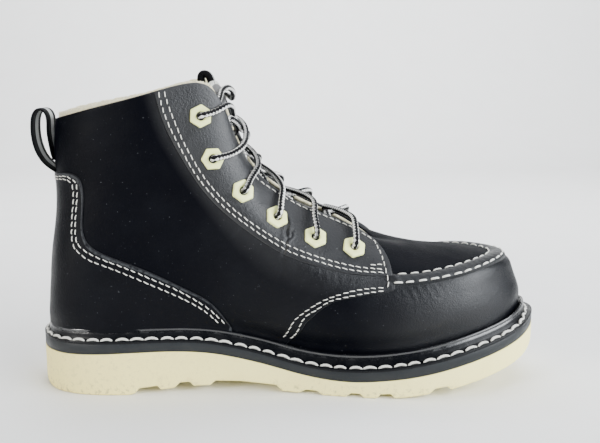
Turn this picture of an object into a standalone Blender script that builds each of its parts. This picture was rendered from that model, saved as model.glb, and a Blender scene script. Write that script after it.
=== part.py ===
# Wedge sole work boot, left foot. Millimetres here, metres in the meshes.
# +X runs from heel to toe, -Y is the medial (inner) side, +Z is up.
import math
import bpy
import bmesh
from mathutils import Vector

MM = 0.001

# Driving dimensions
SOLE_LENGTH = 305.0
BALL_WIDTH = 112.0       # of the sole, over its widest places
HEEL_HEIGHT = 32.0       # of the sole under the back of the heel
INSTEP_HEIGHT = 114.4    # of the throat's edge over the floor, a third of the way up it
WALL = 2.4               # the upper's leather and lining together
OVERLAY = 1.3            # a panel's leather
CLEAR = 0.55             # between the upper's facets and a panel on it
GAP = 0.3                # between plates of the sole

# The tables below are drawn at these sizes, and stretched to the ones above
DRAWN_LENGTH = 305.0
DRAWN_BALL_WIDTH = 112.0
DRAWN_HEEL_HEIGHT = 32.0
DRAWN_INSTEP_HEIGHT = 114.4


def long(x):
    return x * SOLE_LENGTH / DRAWN_LENGTH


def wide(y):
    return y * BALL_WIDTH / DRAWN_BALL_WIDTH


def tall(z):
    """Heights in the sole follow the heel's height, and those over it the instep's."""
    if z <= DRAWN_HEEL_HEIGHT:
        return z * HEEL_HEIGHT / DRAWN_HEEL_HEIGHT
    stretch = (INSTEP_HEIGHT - HEEL_HEIGHT) / (DRAWN_INSTEP_HEIGHT - DRAWN_HEEL_HEIGHT)
    return HEEL_HEIGHT + (z - DRAWN_HEEL_HEIGHT) * stretch


def side_view(rows):
    """Drawn (x, z) places at the boot's own size."""
    return [(long(x), tall(z)) for x, z in rows]


# Splines
def natural_spline(knots, values):
    """Cubic through the values, with no bend at its two ends."""
    n = len(knots)
    h = [knots[i + 1] - knots[i] for i in range(n - 1)]
    diag = [1.0] * n
    upper = [0.0] * n
    right = [0.0] * n
    for i in range(1, n - 1):
        a, c = h[i - 1], h[i]
        d = 6.0 * ((values[i + 1] - values[i]) / c - (values[i] - values[i - 1]) / a)
        m = 2.0 * (a + c) - a * upper[i - 1]
        upper[i] = c / m
        right[i] = (d - a * right[i - 1]) / m
        diag[i] = m
    bend = [0.0] * n
    for i in range(n - 2, 0, -1):
        bend[i] = right[i] - upper[i] * bend[i + 1]

    def value(t):
        i = 0
        while i < n - 2 and t > knots[i + 1]:
            i += 1
        w = h[i]
        p = (knots[i + 1] - t) / w
        q = (t - knots[i]) / w
        curve = ((p ** 3 - p) * bend[i] + (q ** 3 - q) * bend[i + 1]) * w * w / 6.0
        return p * values[i] + q * values[i + 1] + curve
    return value


def closed_spline(points, by_length=False):
    """A closed curve through points, at parameter k / count or by chord length, over 0..1."""
    count = len(points)
    wrap = 4
    if by_length:
        steps = [math.dist(points[k], points[(k + 1) % count]) for k in range(count)]
    else:
        steps = [1.0] * count
    total = sum(steps)
    own = [sum(steps[:k]) / total for k in range(count)]
    order = range(-wrap, count + wrap)
    knots = [own[k % count] + k // count for k in order]
    ring = [points[k % count] for k in order]
    axes = [natural_spline(knots, [p[i] for p in ring]) for i in range(len(points[0]))]
    return lambda u: tuple(axis(u % 1.0) for axis in axes)


# Sole plan. Columns: x, medial y, lateral y
SOLE_PLAN = (
    (0, 0, 0),
    (4, -17, 17),
    (16, -31, 31.5),
    (38, -38.5, 39),
    (75, -38.2, 41.5),
    (115, -37.2, 46.5),
    (155, -40.8, 54.5),
    (190, -48, 60),
    (218, -51.5, 60.5),
    (246, -49.8, 56),
    (268, -44.5, 48),
    (287, -34.5, 35.5),
    (299, -20, 18.5),
    (305, -3, -3),
)
SIDES = ("medial", "lateral")
PLAN_LOOP = closed_spline(
    [(long(x), wide(m)) for x, m, s in SOLE_PLAN]
    + [(long(x), wide(s)) for x, m, s in SOLE_PLAN[-2:0:-1]], by_length=True)


def search(function, target, low, high):
    """The parameter between low and high where a rising function meets the target."""
    for _ in range(44):
        mid = (low + high) / 2
        if function(mid) < target:
            low = mid
        else:
            high = mid
    return (low + high) / 2


def farthest_parameter(low, high, sign):
    """The parameter of the plan's front or back end."""
    for _ in range(60):
        a, b = low + (high - low) / 3, high - (high - low) / 3
        if sign * PLAN_LOOP(a)[0] < sign * PLAN_LOOP(b)[0]:
            low = a
        else:
            high = b
    return (low + high) / 2


HEEL_T = farthest_parameter(-0.02, 0.02, -1)
TOE_T = farthest_parameter(0.4, 0.6, 1)


def plan_parameter(side, x, inset=0.0):
    if side == "medial":
        return search(lambda t: plan_point(t, inset)[0], x, HEEL_T, TOE_T)
    return search(lambda t: -plan_point(t, inset)[0], -x, TOE_T, HEEL_T + 1.0)


def plan_direction(t):
    a, b = PLAN_LOOP(t - 5e-4), PLAN_LOOP(t + 5e-4)
    return Vector((b[0] - a[0], b[1] - a[1])).normalized()


def plan_point(t, inset=0.0):
    """A point at a distance inside the sole's edge. The loop runs heel, medial, toe, lateral."""
    x, y = PLAN_LOOP(t)
    d = plan_direction(t)
    return x - d.y * inset, y + d.x * inset


def plan_y(side, x, inset=0.0):
    return plan_point(plan_parameter(side, x, inset), inset)[1]


# Sole heights. Columns: x, top of the dark band, line between band and cream sole
SOLE_HEIGHTS = (
    (0, 32.0, 24.0),
    (20, 32.5, 24.4),
    (42, 33.0, 25.2),
    (66, 33.4, 26.0),
    (84, 33.3, 26.0),
    (97, 32.7, 25.3),
    (110, 31.0, 23.6),
    (122, 28.5, 21.2),
    (137, 24.8, 17.6),
    (155, 19.8, 12.9),
    (172, 17.3, 10.0),
    (190, 17.1, 9.4),
    (205, 18.3, 10.7),
    (220, 20.4, 12.6),
    (237, 23.5, 15.7),
    (255, 27.8, 20.0),
    (272, 32.4, 24.7),
    (288, 37.0, 29.6),
    (305, 42.0, 35.0),
)
BAND_X = [long(x) for x, top, base in SOLE_HEIGHTS]
BAND_TOP = natural_spline(BAND_X, [tall(top) for x, top, base in SOLE_HEIGHTS])
BAND_BASE = natural_spline(BAND_X, [tall(base) for x, top, base in SOLE_HEIGHTS])

# Tread line. Columns: x, height of the underside; steep pairs are the sides of the lugs
TREAD = (
    (0, 6.0), (2, 2.6), (6, 0.6), (10, 0.0), (57, 0.0), (60.0, 0.9),
    (62.2, 3.8), (73.0, 5.0), (75.0, 2.6), (83.0, 3.4),
    (86.0, 6.6), (92.0, 6.9), (94.2, 4.3), (104.0, 4.6),
    (107.0, 7.3), (122.0, 6.9), (143.0, 4.8), (146.4, 1.3), (156.4, 0.6),
    (160.4, 2.6), (167.0, 2.3), (170.0, 0.0), (184.0, 0.0),
    (186.2, 2.2), (191.8, 2.2), (194.0, 0.0), (201.4, 0.0),
    (203.4, 2.5), (209.4, 2.8), (211.8, 0.4), (219.0, 0.9), (232.0, 2.7),
    (235.0, 5.7), (242.4, 6.8), (245.0, 4.7), (253.0, 6.6), (263.0, 9.0),
    (274.0, 12.0), (286.0, 15.6), (295.0, 18.4), (300.0, 20.6), (303.5, 23.4), (305.0, 27.0),
)
TREAD_LINE = side_view(TREAD)


def tread(x):
    for a, b in zip(TREAD_LINE, TREAD_LINE[1:]):
        if x <= b[0]:
            return a[1] + (b[1] - a[1]) * (x - a[0]) / (b[0] - a[0])
    return TREAD_LINE[-1][1]


END_STATIONS = (0.0, 0.35, 1.3, 3.0, 5.6, 9.0, 13.0, 18.0, 24.0, 31.0, 39.0, 47.0)
FRONT_STATIONS = (258.0, 266.0, 273.5, 280.5, 286.5, 291.5, 295.6, 299.0, 301.6, 303.4, 304.6, 305.0)
MIDDLE_STATIONS = tuple(57.0 + k * 9.8 for k in range(21))
PLATE_STATIONS = tuple(long(x) for x in END_STATIONS + MIDDLE_STATIONS + FRONT_STATIONS)


# Materials. Columns: colour, roughness, metallic
MATERIALS = {
    "cream_rubber": ((0.80, 0.76, 0.62), 0.6, 0.0),
    "grey_rubber": ((0.045, 0.045, 0.05), 0.45, 0.0),
    "black_rubber": ((0.015, 0.015, 0.017), 0.45, 0.0),
    "footbed": ((0.30, 0.27, 0.22), 0.9, 0.0),
    "black_leather": ((0.012, 0.012, 0.014), 0.35, 0.0),
    "webbing": ((0.02, 0.02, 0.022), 0.8, 0.0),
    "eyelet_plastic": ((0.62, 0.70, 0.42), 0.3, 0.0),
    "lace": ((0.55, 0.55, 0.53), 0.8, 0.0),
}
NODE_MATERIALS = (
    ("outsole", "cream_rubber"),
    ("midsole", "grey_rubber"),
    ("welt", "black_rubber"),
    ("insole", "footbed"),
    ("heel_loop", "webbing"),
    ("tongue_loop", "webbing"),
    ("eyelet", "eyelet_plastic"),
    ("lace", "lace"),
)
OTHER_MATERIAL = "black_leather"


def material_for(node):
    name = next((m for start, m in NODE_MATERIALS if node.startswith(start)), OTHER_MATERIAL)
    if name in bpy.data.materials:
        return bpy.data.materials[name]
    colour, roughness, metallic = MATERIALS[name]
    material = bpy.data.materials.new(name)
    material.use_nodes = True
    shader = material.node_tree.nodes["Principled BSDF"]
    shader.inputs["Base Color"].default_value = (*colour, 1.0)
    shader.inputs["Roughness"].default_value = roughness
    shader.inputs["Metallic"].default_value = metallic
    return material


# Mesh making
SOLIDS = []


def add_solid(name, verts, faces):
    mesh = bpy.data.meshes.new(name)
    mesh.from_pydata([tuple(v) for v in verts], [], faces)
    mesh.update()
    shape = bmesh.new()
    shape.from_mesh(mesh)
    bmesh.ops.remove_doubles(shape, verts=shape.verts, dist=1e-4)
    bmesh.ops.triangulate(shape, faces=shape.faces)
    bmesh.ops.recalc_face_normals(shape, faces=shape.faces)
    shape.to_mesh(mesh)
    shape.free()
    solid = bpy.data.objects.new(name, mesh)
    bpy.context.collection.objects.link(solid)
    SOLIDS.append(solid)
    return solid


def loft(name, sections, closed=False):
    """Joins equal closed sections one after another, with flat ends unless it is a ring."""
    size = len(sections[0])
    verts = [p for section in sections for p in section]
    count = len(sections)
    faces = []
    for i in range(count if closed else count - 1):
        a = i * size
        b = ((i + 1) % count) * size
        for k in range(size):
            n = (k + 1) % size
            faces.append((a + k, a + n, b + n, b + k))
    if not closed:
        faces.append(tuple(range(size)))
        faces.append(tuple((count - 1) * size + k for k in range(size)))
    return add_solid(name, verts, faces)


# Sole plates, lofted along the length
def plate(name, stations, low, high, inset=None, bevel=0.0):
    start, end = stations[0], stations[-1]
    sections = []
    for x in stations:
        gap = inset(x) if inset else 0.0
        medial, lateral = plan_y("medial", x, gap), plan_y("lateral", x, gap)
        if x in (start, end):
            mid = 0.0 if x == start else wide(SOLE_PLAN[-1][1])
            medial, lateral = min(medial, mid - 0.4), max(lateral, mid + 0.4)
        z0, z1 = low(x), high(x)
        b = min(bevel, (lateral - medial) * 0.3)
        sections.append([
            (x, medial + b, z0), (x, lateral - b, z0), (x, lateral, z0 + b),
            (x, lateral, z1), (x, medial, z1), (x, medial, z0 + b),
        ] if bevel else [
            (x, medial, z0), (x, lateral, z0), (x, lateral, z1), (x, medial, z1),
        ])
    return loft(name, sections)


def build_sole():
    steps = sorted(set(PLATE_STATIONS) | {x for x, z in TREAD_LINE})
    spaced = [steps[0]]
    for x in steps[1:]:
        if x - spaced[-1] > 0.3 or x == steps[-1]:
            spaced.append(x)
    plate("outsole", spaced, tread, BAND_BASE, bevel=1.2)
    plate("midsole", PLATE_STATIONS, lambda x: BAND_BASE(x) + GAP, lambda x: BAND_TOP(x) - 1.6)


# Welt ring. Columns: distance in from the sole's edge at the toe, height above the band's top
WELT_PROFILE = (
    (0.0, -1.3),
    (0.0, -0.1),
    (0.6, 0.3),
    (4.4, 1.0),
    (5.5, 5.8),
    (6.6, 7.2),
    (7.7, 6.2),
    (7.9, -1.3),
)
WELT_AT_HEEL = 0.62


def welt_scale(x):
    """The welt is narrower behind the arch than in front."""
    t = min(max((x - long(60.0)) / long(120.0), 0.0), 1.0)
    return WELT_AT_HEEL + (1.0 - WELT_AT_HEEL) * t * t * (3.0 - 2.0 * t)


def welt_rise(x):
    t = min(max((x - long(100.0)) / long(60.0), 0.0), 1.0)
    return 0.88 + 0.12 * t


def outline_parameters(stations):
    """Plan parameters round the sole: heel, medial, toe, lateral."""
    inner = stations[1:-1]
    medial = [plan_parameter("medial", x) for x in inner]
    lateral = [plan_parameter("lateral", x) for x in reversed(inner)]
    return [HEEL_T] + medial + [TOE_T] + lateral


def build_welt():
    stations = PLATE_STATIONS[:1] + PLATE_STATIONS[2:-2] + PLATE_STATIONS[-1:]
    sections = []
    for t in outline_parameters(stations):
        edge_x = plan_point(t)[0]
        scale, rise = welt_scale(edge_x), welt_rise(edge_x)
        section = []
        for inset, height in WELT_PROFILE:
            x, y = plan_point(t, inset * scale)
            tall = height * rise if height > 0 else height
            section.append((x, y, BAND_TOP(x) + tall))
        sections.append(section)
    loft("welt", sections, closed=True)


# The upper's last shape. Each level is a line round the boot from the heel's middle,
# along the side, to the toe's middle. Columns: x, z, medial y, lateral y
FEATHER_X = (5.6, 15, 38, 72, 105, 135, 165, 195, 225, 252, 278, 296.4)
UPPER_LEVELS = (
    ("wall", 0.16, (
        (6.4, 50, 0, 0),
        (14.5, 50.5, -24.0, 24.0),
        (37, 51, -33.0, 33.5),
        (71, 51.5, -33.5, 36.0),
        (104, 50, -33.5, 40.0),
        (134, 44.5, -36.5, 46.0),
        (164, 38, -41.0, 51.5),
        (195, 37.0, -45.0, 54.0),
        (225, 40.5, -46.3, 53.0),
        (252, 47.5, -42.5, 46.5),
        (277.0, 54, -30.0, 29.6),
        (295.2, 57, -2.5, -2.5),
    )),
    ("flank", 0.3, (
        (8.4, 74, 0, 0),
        (16.3, 75, -23.8, 23.8),
        (37.5, 77, -33.3, 33.8),
        (69, 79, -35.8, 37.0),
        (100, 78, -37.3, 40.5),
        (128, 72, -39.0, 44.5),
        (158, 62, -42.5, 49.0),
        (190, 54, -46.6, 53.0),
        (222, 54, -46.6, 52.0),
        (250.5, 59.5, -42.2, 46.0),
        (273.5, 65, -29.0, 29.0),
        (291.5, 67.5, -2.0, -2.0),
    )),
    ("shoulder", 0.5, (
        (13.3, 110, 0, 0),
        (20, 111, -20.0, 20.0),
        (39, 112, -31.0, 31.3),
        (66, 114, -35.0, 35.8),
        (95, 114, -37.0, 38.5),
        (120, 105.5, -37.8, 40.5),
        (148, 88.5, -39.0, 43.5),
        (181, 74, -40.8, 46.5),
        (214, 68.6, -41.0, 45.5),
        (243, 71, -38.5, 41.0),
        (267, 75, -27.0, 27.5),
        (283.5, 76.5, -1.5, -1.5),
    )),
    ("rise", 0.75, (
        (12.0, 135, 0, 0),
        (19.5, 136.3, -18.5, 18.5),
        (39.5, 140, -30.3, 30.6),
        (66, 145, -35.3, 35.8),
        (94, 148, -34.8, 35.6),
        (113.8, 139, -32.8, 34.2),
        (136, 112.5, -31.0, 33.3),
        (166, 93, -31.2, 34.2),
        (197, 83.5, -31.0, 33.5),
        (222, 80.2, -24.5, 25.8),
        (237, 81.0, -12.8, 12.8),
        (243, 81.6, 0, 0),
    )),
    ("edge", 1.0, (
        (13.4, 160.5, 0, 0),
        (21.5, 162.3, -17.5, 17.5),
        (41.5, 167.3, -30.0, 30.4),
        (69, 174.3, -34.4, 34.8),
        (94, 180.8, -31.0, 31.8),
        (110.2, 173.5, -27.0, 27.8),
        (123.5, 140, -22.3, 23.2),
        (149, 114.4, -19.3, 20.2),
        (176, 101.4, -17.4, 18.2),
        (194, 93.6, -13.3, 13.6),
        (201, 90.6, -7.0, 7.0),
        (203, 90.0, 0, 0),
    )),
)
STATION_COUNT = len(FEATHER_X)
RING = 2 * (STATION_COUNT - 1)


def foot_parameters():
    """The plan parameter of each station, medial from the heel, then lateral back to it."""
    inset = 8.5 * welt_scale(0) + 0.45
    medial = [plan_parameter("medial", long(x), inset) for x in FEATHER_X[1:-1]]
    lateral = [plan_parameter("lateral", long(x), inset) for x in FEATHER_X[-2:0:-1]]
    marks = [HEEL_T] + medial + [TOE_T] + lateral + [HEEL_T + 1.0]
    wrap = 3
    marks = [m - 1.0 for m in marks[-1 - wrap:-1]] + marks + [m + 1.0 for m in marks[1:wrap + 1]]
    return natural_spline([(k - wrap) / RING for k in range(len(marks))], marks)


FOOT_T = foot_parameters()


def foot_level(inset_at_toe, low, high):
    """A computed level: inside the welt, at a height over the dark band."""
    def point(u):
        t = FOOT_T(u % 1.0)
        edge_x = plan_point(t)[0]
        x, y = plan_point(t, inset_at_toe * welt_scale(edge_x) + 0.45)
        return x, y, BAND_TOP(x) + low + high * welt_rise(edge_x)
    return point


def level_loop(rows):
    medial = [(long(x), wide(m), tall(z)) for x, z, m, s in rows]
    lateral = [(long(x), wide(s), tall(z)) for x, z, m, s in rows[1:-1]]
    return closed_spline(medial + lateral[::-1])


LEVEL_KNOTS = [0.0, 0.05] + [v for name, v, rows in UPPER_LEVELS]
LEVEL_LOOPS = [
    foot_level(8.5, -1.0, 0.0),
    foot_level(8.1, 0.0, 7.6),
] + [level_loop(rows) for name, v, rows in UPPER_LEVELS]
RIB_CACHE = {}


def rib(u):
    key = round(u % 1.0, 7)
    if key not in RIB_CACHE:
        points = [loop(key) for loop in LEVEL_LOOPS]
        RIB_CACHE[key] = [natural_spline(LEVEL_KNOTS, [p[i] for p in points]) for i in range(3)]
    return RIB_CACHE[key]


def surface(u, v):
    return Vector([axis(v) for axis in rib(u)])


def surface_normal(u, v):
    du = surface(u + 1e-3, v) - surface(u - 1e-3, v)
    dv = surface(u, min(v + 0.01, 1.0)) - surface(u, max(v - 0.01, 0.0))
    return du.cross(dv).normalized()


def offset_point(u, v, distance):
    return surface(u, v) + surface_normal(u, v) * distance


def station(k, side="medial"):
    """The ring parameter of a station number on one side."""
    u = k / RING
    return u if side == "medial" else 1.0 - u


def find_uv(x, z, side, guess=None):
    """Where a point drawn in the side view lies on the last's surface."""
    if guess is None:
        best = None
        for i in range(45):
            u = station(i * (STATION_COUNT - 1) / 44.0, side)
            for j in range(21):
                p = surface(u, j / 20.0)
                d = (p.x - x) ** 2 + (p.z - z) ** 2
                if best is None or d < best[0]:
                    best = (d, u, j / 20.0)
        guess = best[1:]
    u, v = guess
    for _ in range(20):
        p = surface(u, v)
        ex, ez = x - p.x, z - p.z
        if abs(ex) + abs(ez) < 1e-4:
            break
        a = (surface(u + 5e-4, v) - surface(u - 5e-4, v)) / 1e-3
        b = (surface(u, v + 5e-4) - surface(u, v - 5e-4)) / 1e-3
        det = a.x * b.z - a.z * b.x
        if abs(det) < 1e-6:
            break
        du = (ex * b.z - ez * b.x) / det
        dv = (a.x * ez - a.z * ex) / det
        u += max(-0.02, min(0.02, du))
        v = min(1.0, max(0.0, v + max(-0.1, min(0.1, dv))))
    return u, v


COLUMNS_PER_STATION = 4
UPPER_ROWS = (0.0, 0.05, 0.12, 0.2, 0.3, 0.4, 0.5, 0.6, 0.7, 0.8, 0.9, 1.0)


def build_upper():
    columns = [k / (RING * COLUMNS_PER_STATION) for k in range(RING * COLUMNS_PER_STATION)]
    sections = []
    for u in columns:
        outer = [tuple(surface(u, v)) for v in UPPER_ROWS]
        inner = [tuple(offset_point(u, v, -WALL)) for v in reversed(UPPER_ROWS)]
        sections.append(outer + inner)
    loft("upper", sections, closed=True)


# Panels: overlays that follow the last, a set distance off the upper
def overlay(name, near_row, far_row, rows=5, base=CLEAR, thickness=OVERLAY):
    """Fills between two equal rows of (u, v) points, and gives the sheet its thickness."""
    sections = []
    for (u0, v0), (u1, v1) in zip(near_row, far_row):
        if abs(u1 - u0) > 0.5:
            u1 += 1.0 if u1 < u0 else -1.0
        line = [(u0 + (u1 - u0) * t / rows, v0 + (v1 - v0) * t / rows) for t in range(rows + 1)]
        outer = [tuple(offset_point(u, v, base + thickness)) for u, v in line]
        inner = [tuple(offset_point(u, v, base)) for u, v in reversed(line)]
        sections.append(outer + inner)
    return loft(name, sections)


def resample(points, count):
    """Equal steps along a smooth line through (x, z) points."""
    knots = [0.0]
    for a, b in zip(points, points[1:]):
        knots.append(knots[-1] + math.dist(a, b))
    axes = [natural_spline(knots, [p[i] for p in points]) for i in range(2)]
    return [tuple(axis(knots[-1] * k / (count - 1)) for axis in axes) for k in range(count)]


def side_line(points, side, count):
    """A line of (x, z) points carried onto the last as (u, v)."""
    line = []
    guess = None
    for x, z in resample(side_view(points), count):
        guess = find_uv(x, z, side, guess)
        line.append(guess)
    return line


# Heel counter's upper edge in the side view. Columns: x, z
COUNTER_EDGE = (
    (115.0, 40.0),
    (110.0, 49.0),
    (103.4, 56.0),
    (93.0, 62.0),
    (76.4, 70.8),
    (63.0, 76.8),
    (48.5, 82.2),
    (40.0, 86.2),
    (34.6, 90.6),
    (32.6, 97.0),
    (33.0, 109.0),
    (33.0, 121.0),
    (30.6, 127.4),
    (24.5, 129.6),
    (16.0, 129.0),
)
COUNTER_TOP_V = 0.683
COUNTER_FOOT_V = 0.056


def build_counter():
    count = 21
    upper_edge = side_line(COUNTER_EDGE, "medial", count)
    tip_u = upper_edge[0][0]
    last_u, last_v = upper_edge[-1]
    bend = [(last_u * (1 - t), last_v + (COUNTER_TOP_V - last_v) * t) for t in (0.34, 0.67, 1.0)]
    medial_top = upper_edge + bend
    steps = len(medial_top) - 1
    medial_foot = [(tip_u * (1.0 - k / steps), COUNTER_FOOT_V) for k in range(steps + 1)]
    lateral_top = [(-u, v) for u, v in reversed(medial_top[:-1])]
    lateral_foot = [(-u, v) for u, v in reversed(medial_foot[:-1])]
    overlay("heel_counter", medial_foot + lateral_foot, medial_top + lateral_top, rows=5, base=0.75)


# Eyestay's lower edge in the side view. Columns: x, z
EYESTAY_EDGE = (
    (76.3, 175.6),
    (80.6, 160.0),
    (91.0, 138.5),
    (105.2, 117.4),
    (121.5, 102.0),
    (135.3, 91.8),
    (148.4, 84.0),
    (168.0, 76.8),
    (190.0, 71.9),
    (206.5, 70.9),
)
EYESTAY_BACK = 3.22
EYESTAY_FRONT = 9.15


def build_eyestay(side):
    count = 24
    lower = side_line(EYESTAY_EDGE, side, count)
    span = EYESTAY_FRONT - EYESTAY_BACK
    top = [(station(EYESTAY_BACK + span * k / (count - 1), side), 0.997) for k in range(count)]
    overlay("eyestay_" + side, top, lower, rows=5)


# Raised apron seam: a bead along the last's shoulder line, round the toe
SEAM_START = 7.98
SEAM_PROFILE = ((0.455, 0.5), (0.475, 1.8), (0.51, 2.2), (0.535, 1.7), (0.552, 0.5))


def build_apron_seam():
    count = 45
    span = 2 * (STATION_COUNT - 1 - SEAM_START)
    sections = []
    for k in range(count):
        u = (SEAM_START + span * k / (count - 1)) / RING
        outer = [tuple(offset_point(u, v, CLEAR + height)) for v, height in SEAM_PROFILE]
        inner = [tuple(offset_point(u, v, CLEAR)) for v in (0.552, 0.51, 0.455)]
        sections.append(outer + inner)
    loft("apron_seam", sections)


def build_insole():
    stations = [9.6, 10.6, 12.6, 16.0, 21.0, 28.0, 36.0] + [46.0 + 11.0 * k for k in range(19)]
    stations += [254.0, 263.0, 271.0, 278.0, 284.0, 288.5, 291.2, 292.2]
    inset = lambda x: 8.5 * welt_scale(x) + 0.45 + WALL + 0.6
    stations = [long(x) for x in stations]
    plate("insole", stations, lambda x: BAND_TOP(x) - 1.2, lambda x: BAND_TOP(x) + 3.0, inset)


# Tongue. Columns: station and height of its side, station of the throat's edge there and its
# height, centre x, centre z
TONGUE_ROWS = (
    (9.0, 0.80, 10.0, 0.90, 217.5, 82.6),
    (8.75, 0.80, 9.65, 0.96, 206.0, 85.7),
    (8.4, 0.80, 9.25, 1.0, 194.5, 91.2),
    (8.0, 0.82, 8.55, 1.0, 185.0, 96.7),
    (7.5, 0.84, 7.95, 1.0, 175.0, 101.4),
    (7.0, 0.84, 7.4, 1.0, 161.0, 107.7),
    (6.5, 0.85, 6.8, 1.0, 146.0, 116.8),
    (6.05, 0.86, 6.3, 1.0, 132.0, 130.0),
    (5.65, 0.87, 5.8, 1.0, 121.0, 146.0),
    (5.3, 0.88, 5.4, 1.0, 114.2, 161.0),
    (5.0, 0.90, 5.08, 1.0, 108.8, 172.5),
)
# Its top stands free of the upper. Columns: side x, y, z, then middle x, y, z, then centre x, z
TONGUE_TOP = (
    (104.8, 25.4, 167.0, 106.0, 20.5, 176.0, 106.3, 178.6),
    (102.6, 22.6, 173.8, 103.6, 17.0, 181.6, 104.4, 184.2),
)
TONGUE_DEPTH = 3.4
TONGUE_THICKNESS = 3.2


def tongue_row_points():
    rows = []
    for k_side, v_side, k_edge, v_edge, x, z in TONGUE_ROWS:
        side = [offset_point(station(k_side), v_side, -TONGUE_DEPTH)]
        k_mid, v_mid = (k_side + k_edge) / 2, (v_side + v_edge) / 2
        side.append(offset_point(station(k_mid), v_mid, -TONGUE_DEPTH))
        side.append(offset_point(station(k_edge), v_edge, -TONGUE_DEPTH))
        other = [offset_point(station(k_side, "lateral"), v_side, -TONGUE_DEPTH)]
        other.append(offset_point(station(k_mid, "lateral"), v_mid, -TONGUE_DEPTH))
        other.append(offset_point(station(k_edge, "lateral"), v_edge, -TONGUE_DEPTH))
        rows.append(side + [Vector((long(x), 0, tall(z)))] + other[::-1])
    for row in TONGUE_TOP:
        sx, mx, x = [long(row[k]) for k in (0, 3, 6)]
        sy, my = [wide(row[k]) for k in (1, 4)]
        sz, mz, z = [tall(row[k]) for k in (2, 5, 7)]
        half = [Vector((sx, sy, sz)), Vector(((sx + mx) / 2, (sy + my) / 2 + 0.8, (sz + mz) / 2)),
                Vector((mx, my, mz))]
        mirrored = [Vector((p.x, -p.y, p.z)) for p in half]
        rows.append(mirrored + [Vector((x, 0, z))] + half[::-1])
    return rows


def grid_spline(rows):
    """A smooth sheet through equal rows of points: a along the rows, b across them, 0 to 1."""
    across = len(rows[0])
    along = len(rows)
    knots_b = [k / (across - 1) for k in range(across)]
    knots_a = [k / (along - 1) for k in range(along)]
    row_axes = [[natural_spline(knots_b, [p[i] for p in row]) for i in range(3)] for row in rows]

    def point(a, b):
        return Vector([
            natural_spline(knots_a, [axes[i](b) for axes in row_axes])(a) for i in range(3)])
    return point


def sheet_normal(point, a, b):
    da = point(min(a + 0.01, 1), b) - point(max(a - 0.01, 0), b)
    db = point(a, min(b + 0.01, 1)) - point(a, max(b - 0.01, 0))
    return da.cross(db).normalized()


def build_tongue():
    point = grid_spline(tongue_row_points())
    sections = []
    along, across = 20, 12
    for i in range(along + 1):
        outer, inner = [], []
        for j in range(across + 1):
            a, b = i / along, j / across
            p = point(a, b)
            n = sheet_normal(point, a, b)
            if n.x + n.z < 0:
                n = -n
            outer.append(tuple(p))
            inner.append(tuple(p - n * TONGUE_THICKNESS))
        sections.append(outer + inner[::-1])
    loft("tongue", sections)


# Webbing loops: a strip with its width along Y, bent along a line of (x, z) points
def strip(name, line, width, thickness, closed):
    points = [Vector(p) for p in side_view(line)]
    count = len(points)
    sections = []
    for k, p in enumerate(points):
        if closed:
            d = points[(k + 1) % count] - points[k - 1]
        else:
            d = points[min(k + 1, count - 1)] - points[max(k - 1, 0)]
        d.normalize()
        side = Vector((-d.y, d.x)) * thickness / 2
        a, b = p + side, p - side
        half = width / 2
        sections.append([(a.x, -half, a.y), (a.x, half, a.y), (b.x, half, b.y), (b.x, -half, b.y)])
    loft(name, sections, closed)


HEEL_LOOP_LINE = (
    (9.9, 131.6), (6.0, 134.6), (2.6, 139.4), (0.4, 145.6), (-0.4, 152.0),
    (-0.2, 158.0), (1.0, 162.6), (3.6, 165.6), (7.0, 166.0), (9.6, 163.6),
    (10.9, 159.4), (10.7, 153.0), (10.5, 146.5), (10.4, 140.0), (10.5, 135.0),
)
HEEL_LOOP_WIDTH = 19.0
TONGUE_LOOP_LINE = (
    (107.9, 177.0), (107.2, 180.6), (106.2, 184.2), (105.0, 187.6), (102.6, 189.8),
    (99.6, 189.4), (97.8, 187.0), (97.6, 183.6), (98.6, 180.2), (100.4, 177.2),
)
TONGUE_LOOP_WIDTH = 11.0


# Eyelets: six-sided rings lying on the eyestay. Columns: x, z, throat station beside it, turn
EYELETS = (
    (101.1, 162.3, 5.40, 4.0),
    (107.7, 138.5, 5.95, 28.0),
    (124.2, 119.8, 6.45, 12.0),
    (143.1, 104.0, 7.05, 14.0),
    (165.6, 91.8, 7.75, 14.0),
    (188.4, 85.4, 8.70, 20.0),
)
EYELET_CORNER = 6.5
EYELET_HOLE = 2.6
EYELET_THICKNESS = 1.5
EYELET_BASE = CLEAR + OVERLAY + GAP


def surface_frame(u, v):
    """Normal, a direction up the side view, and a direction along it."""
    n = surface_normal(u, v)
    up = Vector((0, 0, 1)) - n * n.z
    up.normalize()
    return n, up, up.cross(n)


def settle(point, u, v):
    """The (u, v) whose surface point lies straight below a point near the surface."""
    for _ in range(8):
        a = (surface(u + 5e-4, v) - surface(u - 5e-4, v)) / 1e-3
        b = (surface(u, v + 5e-4) - surface(u, v - 5e-4)) / 1e-3
        d = point - surface(u, v)
        aa, ab, bb = a.dot(a), a.dot(b), b.dot(b)
        da, db = d.dot(a), d.dot(b)
        det = aa * bb - ab * ab
        u += (da * bb - db * ab) / det
        v += (db * aa - da * ab) / det
    return u, v


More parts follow.
